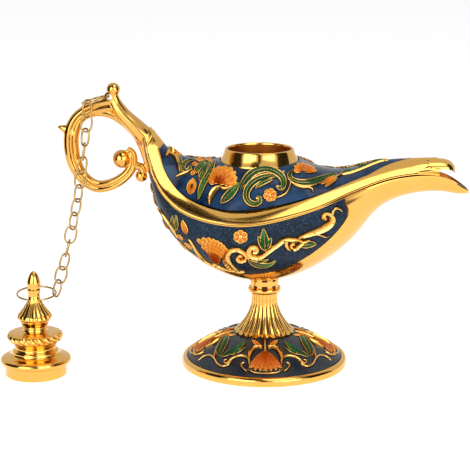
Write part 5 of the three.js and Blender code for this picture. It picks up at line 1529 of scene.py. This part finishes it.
for quarter in range(4):
    for k in range(7):
        lean = (k - 3) / 3
        places = [(16.6, 0.5 * lean), (19.0, 6.0 * lean), (21.6, 10.0 * lean), (24.4 - 0.9 * lean * lean, 13.2 * lean)]
        foot_side.leaf(on_foot(places, quarter), 0.95, "red", 0.75, 0.10, 0.0, petal_shape, PILLOW)
    for radius, reach, count in ((22.2, 10.0, 6), (23.3, 11.5, 7), (24.4, 11.0, 8)):
        for degrees in np.linspace(-reach, reach, count):
            foot_side.boss(on_foot([(radius, degrees)], quarter)[0] + np.array([0, 0, 0.5]), 0.26, rise=1.9)
    foot_side.scroll(on_foot([(16.3, 0), (18, 0), (20, 0), (22, 0)], quarter), [0.2, 0.18, 0.16, 0.1], 1.6, ROUND)
    foot_side.scroll(on_foot([(10.6, 0), (12.6, 0), (14.6, 0), (16.8, 0)], quarter),
                     [0.35, 0.36, 0.42, 0.5], 0.7, ROUND)
    hem = [(24.0, -14.4), (24.9, -9.6), (25.2, -4.8), (25.25, 0), (25.2, 4.8), (24.9, 9.6), (24.0, 14.4)]
    foot_side.scroll(on_foot(hem, quarter), [0.15, 0.24, 0.24, 0.24, 0.15], 0.6, ROUND)
    for mirror in (False, True):
        def draw(*places):
            return turned_places(places, quarter, mirror)
        foot_side.leaf(draw((268.6, 349), (271.4, 346), (274.4, 343), (277.6, 340.2)), 0.7, "orange", 0.7, 0.2, 0.0)
        foot_side.scroll(draw((268.6, 347.6), (273, 347.6), (277.4, 350), (280.4, 354.6), (281.8, 360.6)),
                         [0.35, 0.7, 0.75, 0.6, 0.2], 0.8)
        foot_side.scroll(draw((286.6, 363), (289.2, 364.6), (288.4, 368), (285.6, 370.6), (283.8, 372)),
                         [0.25, 0.34, 0.34, 0.28, 0.12], 0.65, ROUND)
        if quarter % 2:
            continue
        foot_side.leaf(draw((310.4, 356.6), (309.4, 350.6), (306.6, 344), (303.6, 338.4), (301, 333.4)),
                       1.75, "green", 0.8, 0.15, 0.08)
        foot_side.leaf(draw((309.4, 357.4), (302.6, 354), (296, 350.6), (290, 346.6), (284.4, 341.8)),
                       1.2, "green", 0.8, 0.14, 0.0)
        foot_side.leaf(draw((301, 355), (295, 353), (289.8, 350.8), (285.2, 348.2)), 0.6, "green", 0.6, 0.13, 0.0)
        foot_side.scroll(draw((281.6, 364.4), (281.4, 360.6), (283.4, 357.6), (288.4, 356), (294.4, 357),
                              (299.4, 359.8),
                              (302.6, 363.2), (305.6, 363.4), (305.8, 360.6), (303.4, 360)),
                         [0.25, 0.4, 0.44, 0.46, 0.44, 0.4, 0.34, 0.3, 0.26, 0.2], 0.7, ROUND)
        foot_side.scroll(draw((298.6, 360.6), (302.4, 365), (307.6, 366.6), (312.6, 364), (315.4, 359), (319, 355.8),
                              (324, 356), (328, 358.2), (331, 360.6)),
                         [0.25, 0.34, 0.36, 0.4, 0.36, 0.34, 0.3, 0.25, 0.12], 0.65, ROUND)
        foot_side.scroll(draw((312.2, 346.6), (313.8, 352), (315.4, 357.6)), [0.15, 0.3, 0.3], 0.65, ROUND)
foot_side.finish("foot_ornament", COLOURS, ["foot_enamel"], mirror=False)

# %% [markdown]
# ## Arch at the handle and strokes at the spout
# The bead on the seam climbs the handle end and closes over the top as a pointed arch, which hides the joint between
# the body and the handle. At the other end of the cover the band is closed by a few chased strokes. The strokes are
# drawn as dark brown painted shade on the surface, and a thread of the same painted shade lies in the groove between
# bead and band.

# %% Arch at the handle and strokes at the spout
GROOVE = slice(14, 16)
edge_work = Ornament(Ground(cover_skin, (0, 0, 1)))
ARCH = [(2.6, 0.045), (2.0, 0.045), (1.45, 0.05), (1.05, 0.065), (0.76, 0.11), (0.60, 0.18), (0.53, 0.28), (0.50, 0.39),
        (0.50, 0.5)]
arch_line = [cover_skin[np.abs(cover_stations - station).argmin(), round(share * (columns - 1))]
             for station, share in ARCH]
path, normals, f = edge_work.line(arch_line)
bead = tube(path, normals, np.interp(f, [0, 0.2, 1], [0.2, 0.55, 0.55]),
            np.interp(f, [0, 0.2, 0.6, 1], [0.1, 0.42, 0.32, 0.16]), ROUND)
edge_work.gold.closed(bead)
# The strokes and the thread in the groove are painted shade: dark brown ribbons that stand for the shade in the cuts.
for places in ([(426.6, 159.8), (430.4, 162), (434, 165)], [(423.6, 168.6), (428.6, 166.8), (434, 164.2)],
               [(416, 172.4), (425, 171), (434.6, 170.4)], [(429.6, 169.2), (432, 166.6), (433.6, 163.4)]):
    path, normals, f = edge_work.line(places)
    stroke = tube(path, normals, 0.30 * np.sin(math.pi * np.clip(f, 0.1, 0.9)), np.full(len(path), 0.06), PILLOW)
    edge_work.fill("stroke").closed(stroke)
groove = cover_skin[(cover_stations > 2.4) & (cover_stations < 13.0), GROOVE].mean(axis=1) + [0, -0.24, 0]
level_side = np.tile([0.0, -1.0, 0.0], (len(groove), 1))
edge_work.fill("stroke").closed(tube(groove, level_side, np.full(len(groove), 0.17), np.full(len(groove), 0.10), ROUND))
edge_work.finish("edge_work", {"stroke": painted_shade_brown})

# %% [markdown]
# ## Studio
# The lamp stands on a pale floor in a white tent. Polished gold shows its surroundings, so what matters is what it can
# mirror: white all round, a bright soft panel in front on either side and one above, and dark cards at both sides,
# above and below the lens, which draw the brown streaks. The cards show only in reflections.

# %% Studio
TARGET = Vector((0, 0, 0.05))
FLOOR_GLOW = 0.60
FLOOR_REACH = 6.0
TENT_FILL, TENT_MIRRORED, TENT_SEEN = 0.48, 0.90, 1.0


def soft_panel(name, place, size, power):
    data = bpy.data.lights.new(name, "AREA")
    data.shape = "RECTANGLE"
    data.size, data.size_y = size
    data.energy = power
    light = bpy.data.objects.new(name, data)
    light.location = Vector(place)
    light.rotation_euler = (TARGET - Vector(place)).to_track_quat("-Z", "Y").to_euler()
    light.visible_camera = False
    bpy.context.collection.objects.link(light)


def stage_sheet(name, corners, finish):
    mesh = bpy.data.meshes.new(name)
    mesh.from_pydata(corners, [], [(0, 1, 2, 3)])
    mesh.materials.append(finish.material)
    sheet = bpy.data.objects.new(name, mesh)
    bpy.context.collection.objects.link(sheet)
    return sheet


floor_finish = Finish("pale_floor", Roughness=1.0, Specular_IOR_Level=0.0)
floor_finish.feed(Base_Color=floor_finish.blend(floor_finish.noise(2.0, 1.0), colour(0.86, 0.86, 0.86),
                                                colour(0.89, 0.89, 0.89)))
looks = [floor_finish.node("ShaderNodeLightPath", output=kind) for kind in ("Is Camera Ray", "Is Glossy Ray")]
seen = looks[0].maths("MAXIMUM", looks[0], looks[1])
glow = floor_finish.node("ShaderNodeEmission", None, {"Color": colour(1, 1, 1), "Strength": FLOOR_GLOW})
lit = floor_finish.node("ShaderNodeAddShader", None,
                        {0: Value(floor_finish, floor_finish.shader.outputs[0]), 1: glow})
shown = floor_finish.node("ShaderNodeMixShader", None,
                          {0: seen, 1: Value(floor_finish, floor_finish.shader.outputs[0]), 2: lit})
floor_finish.put(floor_finish.tree.nodes["Material Output"].inputs[0], shown)
stage_sheet("floor", [(x * FLOOR_REACH, y * FLOOR_REACH, 0) for x, y in ((-1, -1), (1, -1), (1, 1), (-1, 1))],
            floor_finish)

dark = Finish("dark_card", Roughness=0.9)
dark.feed(Base_Color=dark.blend(dark.noise(3.0), colour(0.010, 0.008, 0.006), colour(0.02, 0.016, 0.012)))


def side_card(x):
    return [(x, -0.173, 0.0), (x, 0.07, 0.0), (x, 0.07, 0.45), (x, -0.173, 0.45)]


CARDS = {
    "card_left": side_card(-0.30),
    "card_right": side_card(0.30),
    "card_above": [(-0.33, -0.80, 0.65), (-0.02, -0.80, 0.65), (-0.02, -0.02, 0.65), (-0.33, -0.02, 0.65)],
    "card_lens": [(-0.06, -0.62, 0.02), (0.04, -0.62, 0.02), (0.04, -0.62, 0.55), (-0.06, -0.62, 0.55)],
}
for name, corners in CARDS.items():
    card = stage_sheet(name, corners, dark)
    for ray in ("camera", "diffuse", "shadow", "transmission"):
        setattr(card, "visible_" + ray, False)

soft_panel("panel_top", (0.25, -0.30, 1.1), (0.6, 0.6), 2.2)
soft_panel("panel_left", (-0.62, -0.95, 0.42), (0.80, 0.75), 5.0)
soft_panel("panel_right", (0.60, -0.98, 0.36), (0.80, 0.75), 5.0)

world = bpy.data.worlds.new("white_tent")
bpy.context.scene.world = world
world.use_nodes = True
sky = world.node_tree
sky.nodes.clear()
path_node = sky.nodes.new("ShaderNodeLightPath")


def tent_light(strength):
    light = sky.nodes.new("ShaderNodeBackground")
    light.inputs["Strength"].default_value = strength
    return light.outputs[0]


def by_ray(kind, others, chosen):
    """Chosen light for one kind of ray, and the other light for the rest."""
    mix = sky.nodes.new("ShaderNodeMixShader")
    for socket, source in zip(mix.inputs, (path_node.outputs[kind], others, chosen)):
        sky.links.new(source, socket)
    return mix.outputs[0]


mirrored_tent = by_ray("Is Glossy Ray", tent_light(TENT_FILL), tent_light(TENT_MIRRORED))
tent = by_ray("Is Camera Ray", mirrored_tent, tent_light(TENT_SEEN))
sky.links.new(tent, sky.nodes.new("ShaderNodeOutputWorld").inputs["Surface"])
bpy.context.scene.view_settings.view_transform = "Standard"
print("studio ready")
